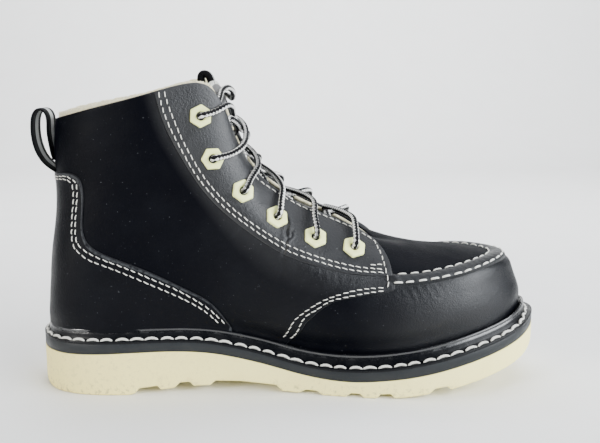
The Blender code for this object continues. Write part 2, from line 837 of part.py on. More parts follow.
def build_eyelet(number, side):
    x, z, _, turn = EYELETS[number]
    u, v = find_uv(long(x), tall(z), side)
    n, up, along = surface_frame(u, v)
    origin = surface(u, v)
    mirror = 1 if side == "medial" else -1
    sections = []
    for k in range(12):
        angle = math.radians(30 * k)
        reach = EYELET_CORNER if k % 2 == 0 else EYELET_CORNER * math.cos(math.radians(30))
        turned = angle + math.radians(turn)
        direction = up * math.cos(turned) + along * math.sin(turned) * mirror
        section = []
        for radius, height in ((reach, 0.0), (reach - 0.6, EYELET_THICKNESS),
                               (EYELET_HOLE, EYELET_THICKNESS), (EYELET_HOLE, 0.0)):
            su, sv = settle(origin + direction * radius, u, v)
            section.append(tuple(offset_point(su, sv, EYELET_BASE + height)))
        sections.append(section)
    loft("eyelet_%s_%d" % (side, number + 1), sections, closed=True)


# Lace crossings: two bars over the tongue, joined where they meet
LACE_RADIUS = 1.85


def tube(name, points, radius, sides=6):
    curve = [natural_spline(list(range(len(points))), [p[i] for p in points]) for i in range(3)]
    steps = (len(points) - 1) * 2
    line = [Vector([axis(k / 2) for axis in curve]) for k in range(steps + 1)]
    sections = []
    normal = Vector((0, 0, 1))
    for k, p in enumerate(line):
        d = (line[min(k + 1, steps)] - line[max(k - 1, 0)]).normalized()
        normal = (normal - d * normal.dot(d)).normalized()
        across = d.cross(normal)
        ring = []
        for j in range(sides):
            t = 2 * math.pi * j / sides
            ring.append(tuple(p + (normal * math.cos(t) + across * math.sin(t)) * radius))
        sections.append(ring)
    return loft(name, sections)


def tongue_centre(k):
    rows = [(r[2], long(r[4]), tall(r[5])) for r in TONGUE_ROWS][::-1]
    x = natural_spline([r[0] for r in rows], [r[1] for r in rows])(k)
    z = natural_spline([r[0] for r in rows], [r[2] for r in rows])(k)
    return Vector((x, 0, z))


def tongue_outward(k):
    d = tongue_centre(k + 0.1) - tongue_centre(k - 0.1)
    return Vector((-d.z, 0, d.x)).normalized()


def rest_on_tongue(target):
    """The place over the tongue's face, nearest to a target, where a lace lies on it."""
    point = grid_spline(tongue_row_points())
    best = None
    for i in range(10, 61):
        for j in range(17):
            a, b = i / 60, 0.3 + 0.4 * j / 16
            p = point(a, b)
            if best is None or (p - target).length < best[0]:
                best = ((p - target).length, a, b, p)
    n = sheet_normal(point, best[1], best[2])
    if n.x + n.z < 0:
        n = -n
    return best[3] + n * (LACE_RADIUS + 0.1)


def lace_bar(number, side):
    """From an eyelet's mouth over the tongue to rest just short of the far edge."""
    x, z, k_low, _ = EYELETS[number + 1]
    k_high = EYELETS[number][2]
    sign = -1 if side == "medial" else 1
    u, v = find_uv(long(x), tall(z), side)
    lift = EYELET_BASE + EYELET_THICKNESS + 1.0 + LACE_RADIUS
    start = offset_point(u, v, lift)
    edge = surface(station(k_low, side), 1.0)
    k_edge = k_low * 0.9 + k_high * 0.1
    over_edge = edge + tongue_outward(k_edge) * 6.2
    k_mid = (k_low + k_high) / 2
    centre = tongue_centre(k_mid) + tongue_outward(k_mid) * 5.4
    k_far = k_low * 0.2 + k_high * 0.8
    far = rest_on_tongue(tongue_centre(k_far) + Vector((0, -sign * 9.0, 0)))
    bulge = (start + over_edge) / 2 + surface_normal(u, v) * 4.6
    return [start, bulge, over_edge, centre, far]


def join(first, second):
    cut = first.modifiers.new("join", "BOOLEAN")
    cut.operation = "UNION"
    cut.solver = "EXACT"
    cut.object = second
    graph = bpy.context.evaluated_depsgraph_get()
    mesh = bpy.data.meshes.new_from_object(first.evaluated_get(graph))
    first.modifiers.clear()
    first.data = mesh
    SOLIDS.remove(second)
    bpy.data.objects.remove(second)


def build_lace(number):
    bars = [tube("bar_" + side, lace_bar(number, side), LACE_RADIUS) for side in SIDES]
    join(bars[0], bars[1])
    bars[0].name = "lace_crossing_%d" % (number + 1)
    bars[0].data.name = bars[0].name


# Clear away the startup objects, build everything, then centre the boot on its own box
def clear_startup():
    for old in list(bpy.data.objects):
        bpy.data.objects.remove(old)


def recentre():
    points = [v.co for solid in SOLIDS for v in solid.data.vertices]
    low = [min(p[i] for p in points) for i in range(3)]
    high = [max(p[i] for p in points) for i in range(3)]
    shift = Vector(((low[0] + high[0]) / 2, (low[1] + high[1]) / 2, low[2]))
    for solid in SOLIDS:
        for vertex in solid.data.vertices:
            vertex.co = (vertex.co - shift) * MM
        solid.data.materials.append(material_for(solid.name))
        solid.data.shade_smooth()
        solid.data.set_sharp_from_angle(angle=math.radians(35))
        solid.data.update()
    print("centre in the working frame, mm:", tuple(round(c, 3) for c in shift))


def main():
    clear_startup()
    build_sole()
    build_welt()
    build_insole()
    build_upper()
    build_counter()
    for side in SIDES:
        build_eyestay(side)
    build_apron_seam()
    build_tongue()
    strip("heel_loop", HEEL_LOOP_LINE, HEEL_LOOP_WIDTH, 1.6, closed=True)
    strip("tongue_loop", TONGUE_LOOP_LINE, TONGUE_LOOP_WIDTH, 1.4, closed=False)
    for side in SIDES:
        for number in range(len(EYELETS)):
            build_eyelet(number, side)
    for number in range(len(EYELETS) - 1):
        build_lace(number)
    recentre()


main()
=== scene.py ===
"""A wedge sole work boot, left foot, seen from its inner side: the looks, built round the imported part.

Sizes are millimetres in the boot's own frame: X from the back of the heel to the toe, Y from the
inner side (minus) to the outer side, Z up from the floor. They become metres as a mesh is made."""
import math

import bpy
import numpy as np
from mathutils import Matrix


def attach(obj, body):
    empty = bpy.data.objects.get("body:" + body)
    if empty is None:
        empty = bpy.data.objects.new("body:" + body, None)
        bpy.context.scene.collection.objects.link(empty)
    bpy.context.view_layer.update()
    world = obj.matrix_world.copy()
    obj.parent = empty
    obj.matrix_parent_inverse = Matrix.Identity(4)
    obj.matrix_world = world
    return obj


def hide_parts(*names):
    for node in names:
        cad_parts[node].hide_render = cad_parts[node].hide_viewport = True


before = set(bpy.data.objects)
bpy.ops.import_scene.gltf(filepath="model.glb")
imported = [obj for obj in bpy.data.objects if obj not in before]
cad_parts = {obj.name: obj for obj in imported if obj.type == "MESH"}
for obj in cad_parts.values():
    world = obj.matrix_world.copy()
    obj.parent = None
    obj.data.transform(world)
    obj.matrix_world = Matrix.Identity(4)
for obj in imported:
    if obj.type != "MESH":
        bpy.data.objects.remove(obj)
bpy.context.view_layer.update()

MM = 0.001
ORIGIN = np.array((151.922, 4.614, 0.0))    # the part's origin, in the boot's own frame
SIDES = ("medial", "lateral")


# Camera: the photograph's angle to the boot
def add_camera():
    data = bpy.data.cameras.new("camera")
    data.sensor_width = 36.0
    data.lens = 47.17
    camera = bpy.data.objects.new("camera", data)
    camera.location = (-0.0119, -0.4846, 0.1809)
    camera.rotation_euler = (math.radians(80.01), 0.0, math.radians(-2.21))
    bpy.context.scene.collection.objects.link(camera)
    bpy.context.scene.camera = camera


add_camera()


def unit(vectors):
    return vectors / np.linalg.norm(vectors, axis=-1, keepdims=True)


def run_along(points):
    """Length along a line up to each of its points."""
    return np.concatenate([[0], np.cumsum(np.linalg.norm(np.diff(points, axis=0), axis=1))])


def smooth_step(t):
    t = np.clip(t, 0, 1)
    return t * t * (3 - 2 * t)


# Splines, as numpy arrays of many places at once
def natural_weights(knots):
    """How each knot's bend follows from the values at all the knots."""
    count = len(knots)
    step = np.diff(knots)
    left, right = np.eye(count), np.zeros((count, count))
    for i in range(1, count - 1):
        left[i, i - 1:i + 2] = step[i - 1], 2 * (step[i - 1] + step[i]), step[i]
        right[i, i - 1:i + 2] = 6 / step[i - 1], -6 / step[i - 1] - 6 / step[i], 6 / step[i]
    return np.linalg.solve(left, right)


class Spline:
    """A natural cubic spline through values at knots, read at many places at once."""

    def __init__(self, knots, values):
        self.knots = np.asarray(knots, float)
        self.values = np.asarray(values, float)
        self.bend = natural_weights(self.knots)
        flat = self.values.reshape(len(self.knots), -1)
        self.flat, self.bends = flat, self.bend @ flat

    def parts(self, t):
        """The knot before each place, and the shares of the two knots' values and bends."""
        i = np.clip(np.searchsorted(self.knots, t, side="right") - 1, 0, len(self.knots) - 2)
        w = self.knots[i + 1] - self.knots[i]
        p, q = (self.knots[i + 1] - t) / w, (t - self.knots[i]) / w
        return i, p, q, (p ** 3 - p) * w * w / 6, (q ** 3 - q) * w * w / 6

    def __call__(self, t):
        t = np.asarray(t, float)
        i, p, q, bend_p, bend_q = self.parts(t.ravel())
        found = p[:, None] * self.flat[i] + q[:, None] * self.flat[i + 1]
        found += bend_p[:, None] * self.bends[i] + bend_q[:, None] * self.bends[i + 1]
        return found.reshape(t.shape + self.values.shape[1:])

    def rows(self, t):
        """For each place, the share of every knot's value in the spline there."""
        i, p, q, bend_p, bend_q = self.parts(np.asarray(t, float))
        rows = bend_p[:, None] * self.bend[i] + bend_q[:, None] * self.bend[i + 1]
        index = np.arange(len(i))
        rows[index, i] += p
        rows[index, i + 1] += q
        return rows


def closed_spline(points, by_length=False):
    points = np.asarray(points, float)
    count = len(points)
    steps = np.ones(count)
    if by_length:
        steps = np.linalg.norm(np.roll(points, -1, 0) - points, axis=-1)
    own = np.concatenate([[0], np.cumsum(steps)[:-1]]) / steps.sum()
    order = np.arange(-4, count + 4)
    ring = Spline(own[order % count] + order // count, points[order % count])
    return lambda u: ring(np.asarray(u, float) % 1.0)


def evenly(points, count):
    """Equal steps along a smooth line through points."""
    points = np.asarray(points, float)
    knots = run_along(points)
    return Spline(knots, points)(np.linspace(0, knots[-1], count))


# The sole's outline. Columns: x, inner edge y, outer edge y
SOLE_PLAN = (
    (0, 0, 0), (4, -17, 17), (16, -31, 31.5), (38, -38.5, 39), (75, -38.2, 41.5),
    (115, -37.2, 46.5), (155, -40.8, 54.5), (190, -48, 60), (218, -51.5, 60.5),
    (246, -49.8, 56), (268, -44.5, 48), (287, -34.5, 35.5), (299, -20, 18.5), (305, -3, -3),
)
PLAN_LOOP = closed_spline(
    [(x, m) for x, m, s in SOLE_PLAN] + [(x, s) for x, m, s in SOLE_PLAN[-2:0:-1]], by_length=True)


def plan_point(t, inset=0.0):
    """Points at a distance inside the sole's edge. The loop runs heel, medial, toe, lateral."""
    t = np.asarray(t, float)
    d = unit(PLAN_LOOP(t + 5e-4) - PLAN_LOOP(t - 5e-4))
    p = PLAN_LOOP(t)
    return np.stack([p[..., 0] - d[..., 1] * inset, p[..., 1] + d[..., 0] * inset], -1)


PLAN_T = np.linspace(0, 1, 4001)
PLAN_X = PLAN_LOOP(PLAN_T)[:, 0]
HEEL_T = PLAN_T[np.argmin(np.where(PLAN_T < 0.5, PLAN_X, 1e9))]
TOE_T = PLAN_T[np.argmax(PLAN_X)]


def plan_parameter(side, x, inset=0.0):
    """Where the sole's edge, or a line inside it, passes x on one side."""
    t = np.linspace(HEEL_T + (side == "lateral"), TOE_T, 3001)
    return np.interp(x, plan_point(t, inset)[:, 0], t)


# Columns: x, top of the dark band, top of the outsole
SOLE_HEIGHTS = (
    (0, 32.0, 24.0), (20, 32.5, 24.4), (42, 33.0, 25.2), (66, 33.4, 26.0), (84, 33.3, 26.0),
    (97, 32.7, 25.3), (110, 31.0, 23.6), (122, 28.5, 21.2), (137, 24.8, 17.6), (155, 19.8, 12.9),
    (172, 17.3, 10.0), (190, 17.1, 9.4), (205, 18.3, 10.7), (220, 20.4, 12.6), (237, 23.5, 15.7),
    (255, 27.8, 20.0), (272, 32.4, 24.7), (288, 37.0, 29.6), (305, 42.0, 35.0),
)
BAND_TOP, BAND_BASE = [Spline([r[0] for r in SOLE_HEIGHTS], [r[k] for r in SOLE_HEIGHTS]) for k in (1, 2)]
WELT_AT_HEEL = 0.62    # its width there, as a share of the width at the toe


def welt_scale(x):
    return WELT_AT_HEEL + (1 - WELT_AT_HEEL) * smooth_step((x - 60) / 120)


def welt_rise(x):
    return 0.88 + 0.12 * np.clip((x - 100) / 60, 0, 1)


# Where the upper meets the welt at each station, and its levels, from the welt up to the open edge.
# Columns of a level, station by station: x, z, inner side y, outer side y
FEATHER_X = (5.6, 15, 38, 72, 105, 135, 165, 195, 225, 252, 278, 296.4)
UPPER_LEVELS = (
    ("wall", 0.16, (
        (6.4, 50, 0, 0), (14.5, 50.5, -24.0, 24.0), (37, 51, -33.0, 33.5), (71, 51.5, -33.5, 36.0),
        (104, 50, -33.5, 40.0), (134, 44.5, -36.5, 46.0), (164, 38, -41.0, 51.5),
        (195, 37.0, -45.0, 54.0), (225, 40.5, -46.3, 53.0), (252, 47.5, -42.5, 46.5),
        (277.0, 54, -30.0, 29.6), (295.2, 57, -2.5, -2.5))),
    ("flank", 0.3, (
        (8.4, 74, 0, 0), (16.3, 75, -23.8, 23.8), (37.5, 77, -33.3, 33.8), (69, 79, -35.8, 37.0),
        (100, 78, -37.3, 40.5), (128, 72, -39.0, 44.5), (158, 62, -42.5, 49.0), (190, 54, -46.6, 53.0),
        (222, 54, -46.6, 52.0), (250.5, 59.5, -42.2, 46.0), (273.5, 65, -29.0, 29.0),
        (291.5, 67.5, -2.0, -2.0))),
    ("shoulder", 0.5, (
        (13.3, 110, 0, 0), (20, 111, -20.0, 20.0), (39, 112, -31.0, 31.3), (66, 114, -35.0, 35.8),
        (95, 114, -37.0, 38.5), (120, 105.5, -37.8, 40.5), (148, 88.5, -39.0, 43.5),
        (181, 74, -40.8, 46.5), (214, 68.6, -41.0, 45.5), (243, 71, -38.5, 41.0),
        (267, 75, -27.0, 27.5), (283.5, 76.5, -1.5, -1.5))),
    ("rise", 0.75, (
        (12.0, 135, 0, 0), (19.5, 136.3, -18.5, 18.5), (39.5, 140, -30.3, 30.6), (66, 145, -35.3, 35.8),
        (94, 148, -34.8, 35.6), (113.8, 139, -32.8, 34.2), (136, 112.5, -31.0, 33.3),
        (166, 93, -31.2, 34.2), (197, 83.5, -31.0, 33.5), (222, 80.2, -24.5, 25.8),
        (237, 81.0, -12.8, 12.8), (243, 81.6, 0, 0))),
    ("edge", 1.0, (
        (13.4, 160.5, 0, 0), (21.5, 162.3, -17.5, 17.5), (41.5, 167.3, -30.0, 30.4),
        (69, 174.3, -34.4, 34.8), (94, 180.8, -31.0, 31.8), (110.2, 173.5, -27.0, 27.8),
        (123.5, 140, -22.3, 23.2), (149, 114.4, -19.3, 20.2), (176, 101.4, -17.4, 18.2),
        (194.4, 92.2, -13.3, 13.6), (202, 87.2, -7.0, 7.0), (204.5, 85.0, 0, 0))),
)
LAST_STATION = len(FEATHER_X) - 1
RING = 2 * LAST_STATION
WELT_WIDTH, FOOT_GAP = 8.5, 0.45


def foot_parameters():
    """The sole's parameter at every station of the upper."""
    inset = WELT_WIDTH * WELT_AT_HEEL + FOOT_GAP
    medial = [plan_parameter("medial", x, inset) for x in FEATHER_X[1:-1]]
    lateral = [plan_parameter("lateral", x, inset) for x in FEATHER_X[-2:0:-1]]
    marks = np.array([HEEL_T] + medial + [TOE_T] + lateral + [HEEL_T + 1.0])
    marks = np.concatenate([marks[-4:-1] - 1, marks, marks[1:4] + 1])
    return Spline((np.arange(len(marks)) - 3) / RING, marks)


FOOT_T = foot_parameters()


def raised(p, z):
    """Points of the plan at a height."""
    return np.stack([p[..., 0], p[..., 1], z], -1)


def foot_level(u, inset_at_toe, low, high):
    t = FOOT_T(u % 1.0)
    edge_x = plan_point(t)[..., 0]
    p = plan_point(t, inset_at_toe * welt_scale(edge_x) + FOOT_GAP)
    return raised(p, BAND_TOP(p[..., 0]) + low + high * welt_rise(edge_x))


def level_points(rows):
    return [(x, m, z) for x, z, m, s in rows] + [(x, s, z) for x, z, m, s in rows[-2:0:-1]]


LEVELS = Spline([0.0, 0.05] + [v for name, v, rows in UPPER_LEVELS], np.zeros(2 + len(UPPER_LEVELS)))
DRAWN_LEVELS = closed_spline(np.stack([level_points(rows) for name, v, rows in UPPER_LEVELS], 1))


def surface(u, v):
    """Points on the last for arrays u (round, from the heel) and v (up, from the welt)."""
    u, v = np.broadcast_arrays(np.asarray(u, float), np.asarray(v, float))
    shape, u, v = u.shape, u.ravel(), v.ravel()
    foot = foot_level(u, WELT_WIDTH, -1.0, 0.0)[:, None]
    ridge = foot_level(u, 8.1, 0.0, 7.6)[:, None]
    levels = np.concatenate([foot, ridge, DRAWN_LEVELS(u)], 1)
    return np.einsum("nk,nkc->nc", LEVELS.rows(v), levels).reshape(shape + (3,))


def surface_normal(u, v):
    u, v = np.asarray(u, float), np.asarray(v, float)
    du = surface(u + 1e-3, v) - surface(u - 1e-3, v)
    dv = surface(u, np.minimum(v + 0.01, 1)) - surface(u, np.maximum(v - 0.01, 0))
    return unit(np.cross(du, dv))


def station(k, side="medial"):
    """The upper's parameter at a station, which counts from the heel to the toe."""
    u = np.asarray(k, float) / RING
    return u if side == "medial" else 1.0 - u


GRID_K = np.linspace(0, LAST_STATION, 89)
GRID_V = np.linspace(0, 1, 41)
SIDE_GRIDS = {s: surface(station(GRID_K, s)[:, None], GRID_V[None]) for s in SIDES}


def find_uv(points, side):
    """Where points drawn in the side view, as rows of x and z, lie on the last: rows of u and v."""
    found = []
    grid = SIDE_GRIDS[side]
    for x, z in np.asarray(points, float):
        i, j = divmod(int(np.argmin((grid[..., 0] - x) ** 2 + (grid[..., 2] - z) ** 2)), len(GRID_V))
        found.append((float(station(GRID_K[i], side)), GRID_V[j]))
    u, v = np.array(found).T
    target = np.asarray(points, float)
    for _ in range(25):
        p = surface(u, v)
        ex, ez = target[:, 0] - p[:, 0], target[:, 1] - p[:, 2]
        a = (surface(u + 5e-4, v) - surface(u - 5e-4, v)) / 1e-3
        b = (surface(u, v + 5e-4) - surface(u, v - 5e-4)) / 1e-3
        det = a[:, 0] * b[:, 2] - a[:, 2] * b[:, 0]
        det = np.where(abs(det) < 1e-6, 1e-6, det)
        u = u + np.clip((ex * b[:, 2] - ez * b[:, 0]) / det, -0.01, 0.01)
        v = np.clip(v + np.clip((a[:, 0] * ez - a[:, 2] * ex) / det, -0.05, 0.05), 0, 1)
    return np.stack([u, v], 1)


# Meshes from arrays
def grid_faces(rows, columns, wrap=False):
    index = np.arange(rows * columns).reshape(rows, columns)
    if wrap:
        index = np.concatenate([index, index[:, :1]], 1)
    a, b, c, d = index[:-1, :-1], index[:-1, 1:], index[1:, 1:], index[1:, :-1]
    return np.stack([a, b, c, d], -1).reshape(-1, 4)


def rim_faces(outline, shift):
    """Closes the gap between an outline's points and the same points shift places later."""
    following = np.roll(outline, -1)
    return np.stack([following, outline, outline + shift, following + shift], -1)


def ring_faces(rings, columns):
    """Faces of rings, each joined to the next and the last to the first."""
    last_to_first = rim_faces(np.arange(columns), (rings - 1) * columns)
    return np.concatenate([grid_faces(rings, columns, True), last_to_first])


def tube_faces(rings, columns):
    """Faces of rings, each joined to the next, and of the two flat ends."""
    last = (rings - 1) * columns
    ends = [list(range(columns))[::-1], list(range(last, last + columns))]
    return grid_faces(rings, columns, True).tolist() + ends


def slab_faces(rows, columns, wrap=False):
    """Faces of two equal grids, one under the other, joined round their rims."""
    size = rows * columns
    outer = grid_faces(rows, columns, wrap)
    index = np.arange(size).reshape(rows, columns)
    if wrap:
        rims = [rim_faces(index[0], size), rim_faces(index[-1][::-1], size)]
    else:
        outline = [index[0, :-1], index[:-1, -1], index[-1, :0:-1], index[:0:-1, 0]]
        rims = [rim_faces(np.concatenate(outline), size)]
    return np.concatenate([outer, outer[:, ::-1] + size, *rims])


class Soup:
    """Many small shapes gathered into one mesh."""

    def __init__(self):
        self.points, self.faces, self.uvs, self.count = [], [], [], 0

    def add(self, points, faces, uv=None):
        points = np.asarray(points, float).reshape(-1, 3)
        self.points.append(points)
        self.faces += [[int(i) + self.count for i in face] for face in faces]
        self.uvs.append(np.zeros((len(points), 2)) if uv is None else np.asarray(uv).reshape(-1, 2))
        self.count += len(points)

    def build(self, name, finish, slot=None, **more):
        points = np.concatenate(self.points)
        return piece(name, points, self.faces, finish, slot, uv=np.concatenate(self.uvs), **more)


def piece(name, points, faces, finish, slot=None, uv=None, values=None, sharp=None, stands_for=()):
    """One visible piece of the boot, riding on its only body."""
    points = (np.asarray(points, float).reshape(-1, 3) - ORIGIN) * MM
    mesh = bpy.data.meshes.new(name)
    faces = [[int(i) for i in face] for face in faces]
    mesh.from_pydata(points.tolist(), [], faces)
    if uv is not None:
        layer = mesh.uv_layers.new(name="UVMap")
        corners = np.zeros(len(mesh.loops), int)
        mesh.loops.foreach_get("vertex_index", corners)
        layer.data.foreach_set("uv", np.asarray(uv, np.float32).reshape(-1, 2)[corners].ravel())
    for key, numbers in (values or {}).items():
        attribute = mesh.attributes.new(key, "FLOAT", "POINT")
        attribute.data.foreach_set("value", np.asarray(numbers, np.float32).ravel())
    mesh.shade_smooth()
    if sharp is not None:
        mesh.set_sharp_from_angle(angle=math.radians(sharp))
    mesh.materials.append(finish.material)
    built = bpy.data.objects.new(name, mesh)
    bpy.context.scene.collection.objects.link(built)
    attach(built, "root")
    if stands_for:
        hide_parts(*stands_for)
    return built


def layers(*grids):
    """The points or values of some grids, one grid after the other."""
    return np.concatenate([np.reshape(grid, (-1,) + grid.shape[2:]) for grid in grids])


def round_line(first, second, sides):
    """Directions round a line, from two at right angles to it."""
    turn = np.linspace(0, 2 * math.pi, sides, endpoint=False)[None, :, None]
    return np.cos(turn) * first[:, None] + np.sin(turn) * second[:, None]


def tube(points, radius, sides):
    """Rings round a line. Returns the points, the faces and, for each point, turn and length along."""
    normal, normals = np.array((0.0, 0.0, 1.0)), []
    along = unit(np.gradient(points, axis=0))
    for d in along:
        normal = unit(normal - d * (normal @ d))
        normals.append(normal)
    normals = np.array(normals)
    ring = round_line(normals, np.cross(along, normals), sides)
    uv = np.stack(np.broadcast_arrays(np.arange(sides)[None] / sides, run_along(points)[:, None]), -1)
    return points[:, None] + ring * radius, tube_faces(len(points), sides), uv


# Finishes: procedural materials
class Finish:
    """One material. Its texture nodes are added step by step, in the boot's metres."""

    def __init__(self, name, colour, roughness, **values):
        self.material = bpy.data.materials.new(name)
        self.material.use_nodes = True
        self.tree = self.material.node_tree
        self.shader = self.tree.nodes["Principled BSDF"]
        self.set("Base Color", (*colour, 1.0))
        self.set("Roughness", roughness)
        for socket, value in values.items():
            self.set(socket.replace("_", " ").title().replace("Ior", "IOR"), value)
        self.material.diffuse_color = (*colour, 1.0)

    def set(self, socket, value):
        self.shader.inputs[socket].default_value = value

    def node(self, kind, **settings):
        made = self.tree.nodes.new(kind)
        for key, value in settings.items():
            setattr(made, key, value)
        return made

    def feed(self, node, **inputs):
        for key, value in inputs.items():
            socket = node.inputs[int(key[1:])] if key[0] == "i" and key[1:].isdigit() else node.inputs[key]
            if hasattr(value, "is_output"):
                self.tree.links.new(value, socket)
            else:
                socket.default_value = value
        return node

    def place(self, stretch=(1.0, 1.0, 1.0)):
        source = self.node("ShaderNodeTexCoord").outputs["Object"]
        return self.feed(self.node("ShaderNodeMapping"), Vector=source, Scale=stretch).outputs[0]

    def noise(self, size, detail=3.0, rough=0.55, where=None):
        """Soft noise whose features are size millimetres across."""
        made = self.node("ShaderNodeTexNoise")
        self.feed(made, Vector=where or self.place(), Scale=1.0 / (size * MM), Detail=detail, Roughness=rough)
        return made.outputs[0]

    def cells(self, size, feature="F1"):
        made = self.node("ShaderNodeTexVoronoi", feature=feature)
        self.feed(made, Vector=self.place(), Scale=1.0 / (size * MM))
        return made.outputs[0]

    def math(self, operation, *values):
        made = self.node("ShaderNodeMath", operation=operation)
        return self.feed(made, **{"i%d" % k: v for k, v in enumerate(values)}).outputs[0]

    def times(self, a, b):
        return self.math("MULTIPLY", a, b)

    def between(self, value, low, high, start=0.0, end=1.0):
        """Maps low..high to start..end, and holds the ends."""
        made = self.node("ShaderNodeMapRange", interpolation_type="SMOOTHSTEP")
        self.feed(made, i0=value, i1=low, i2=high, i3=start, i4=end)
        return made.outputs[0]

    def mix(self, share, a, b):
        made = self.node("ShaderNodeMix", data_type="RGBA")
        colour = lambda c: c if hasattr(c, "is_output") else (*c, 1.0)
        self.feed(made, i0=share, i6=colour(a), i7=colour(b))
        return made.outputs[2]

    def value(self, name):
        return self.node("ShaderNodeAttribute", attribute_name=name).outputs["Fac"]

    def axis(self, name, source="Object"):
        split = self.node("ShaderNodeSeparateXYZ")
        self.feed(split, i0=self.node("ShaderNodeTexCoord").outputs[source])
        return split.outputs[name]

    def link(self, name, socket):
        self.tree.links.new(socket, self.shader.inputs[name])

    def linked(self, name):
        return self.shader.inputs[name].links[0].from_socket

    def colour(self, socket):
        self.link("Base Color", socket)

    def rough(self, socket):
        self.link("Roughness", socket)

    def shine(self, socket):
        self.link("Specular IOR Level", socket)

    def bump(self, *layers):
        """Layers of (height, depth in millimetres), one on the next."""
        normal = None
        for height, depth in layers:
            made = self.node("ShaderNodeBump")
            self.feed(made, Height=height, Strength=1.0, Distance=depth * MM)
            if normal is not None:
                self.feed(made, Normal=normal)
            normal = made.outputs[0]
        self.tree.links.new(normal, self.shader.inputs["Normal"])


def leather(name, colour, roughness, dust_and_sheen, shine):
    """Smooth oiled leather: fine grain, tiny pores, soft waves, dusty grey mottling (raised on the eyestay,
    where it is painted sheen) and raw cut edges.
    """
    skin = Finish(name, colour, roughness, coat_weight=0.02, coat_roughness=0.3, specular_ior_level=shine)
    grain = skin.cells(0.75, feature="SMOOTH_F1")
    pores = skin.noise(0.32, detail=2)
    clouds = skin.noise(26, detail=4)
    specks = skin.between(skin.noise(1.3, detail=2, rough=0.4), 0.735, 0.77)
    # Grey mottling in the colour: dusty wear, and where its share is raised, as on the eyestay, painted
    # sheen.
    grey = skin.between(clouds, 0.42, 0.72, 0.0, dust_and_sheen)
    shade = skin.mix(grey, colour, (0.009, 0.011, 0.014))
    raw_edge = skin.between(skin.value("inset"), 0.1, 0.7, 1.0, 0.0)
    shade = skin.mix(skin.times(raw_edge, 0.55), shade, (0.03, 0.03, 0.032))
    shade = skin.mix(skin.times(specks, 0.4), shade, (0.10, 0.105, 0.115))
    skin.colour(shade)
    skin.rough(skin.between(clouds, 0.3, 0.75, roughness - 0.07, roughness + 0.1))
    skin.bump((grain, 0.11), (pores, 0.07), (skin.noise(1.5, detail=4, rough=0.7), 0.25),
              (skin.noise(7.0, detail=3), 0.14))
    return skin


def counter_leather(name, colour, roughness):
    """As the upper's leather, with a dusty band along the counter's edge."""
    skin = leather(name, colour, roughness, 0.10, 0.08)
    inset = skin.value("inset")
    band = skin.times(skin.between(inset, 0.2, 0.8), skin.between(inset, 2.2, 3.0, 1.0, 0.0))
    ragged = skin.between(skin.noise(2.2, detail=4), 0.3, 0.62)
    dusty = skin.times(skin.times(band, ragged), 0.62)
    skin.colour(skin.mix(dusty, skin.linked("Base Color"), (0.06, 0.064, 0.068)))
    return skin


def quarter_leather(name, colour, roughness):
    """As the upper's leather, duller to the back of the leg and shinier by the eyestay."""
    skin = leather(name, colour, roughness, 0.12, 0.06)
    forward = skin.between(skin.axis("X"), -0.08, 0.01, 0.04, 0.12)
    skin.shine(skin.math("MAXIMUM", forward, skin.times(skin.value("sheen"), 0.34)))
    return skin


def eyestay_leather(name, colour, roughness):
    """As the upper's leather, greyer in its colour, which is painted sheen, and shinier up the leg."""
    # The grey share of 0.40 paints the eyestay's sheen into its colour.
    skin = leather(name, colour, roughness, 0.40, 0.36)
    skin.shine(skin.between(skin.axis("X"), -0.07, 0.03, 0.62, 0.32))
    return skin


def vamp_leather(name, colour, roughness):
    """As the upper's leather, shinier round the toe and dull on the flat apron."""
    skin = leather(name, colour, roughness, 0.12, 0.3)
    apron, x = skin.value("apron"), skin.axis("X")
    rise, fall = skin.between(x, 0.03, 0.10, 0.05, 0.38), skin.between(x, 0.105, 0.145, 0.0, 0.3)
    wall = skin.math("SUBTRACT", rise, fall)
    wall = skin.times(wall, skin.math("SUBTRACT", 1.0, apron))
    skin.shine(skin.math("ADD", wall, skin.times(apron, 0.06)))
    skin.rough(skin.math("ADD", skin.linked("Roughness"), skin.times(apron, 0.3)))
    return skin


def rubber(name, colour, roughness, dirt, dirt_colour, bump=0.06, shine=0.18):
    """Moulded rubber with a fine moulded grain, clouds and grime."""
    made = Finish(name, colour, roughness, specular_ior_level=shine)
    clouds = made.between(made.noise(18, detail=5), 0.35, 0.75, 0.0, dirt)
    fine = made.between(made.noise(1.6, detail=3), 0.52, 0.8, 0.0, dirt * 1.2)
    share = made.math("MAXIMUM", clouds, fine)
    made.colour(made.mix(share, colour, dirt_colour))
    made.rough(made.between(made.noise(6.0), 0.3, 0.7, roughness - 0.08, roughness + 0.08))
    made.bump((made.noise(0.5, detail=2), bump), (made.noise(5.0), bump * 1.5))
    return made


def welt_rubber(name, colour, roughness):
    """As the other rubber, with a glossy bead beside the upper."""
    made = rubber(name, colour, roughness, 0.14, (0.016, 0.016, 0.017), shine=0.2)
    bead = made.value("bead")
    made.shine(made.between(bead, 0.0, 1.0, 0.17, 0.9))
    made.rough(made.math("SUBTRACT", made.linked("Roughness"), made.times(bead, 0.1)))
    return made


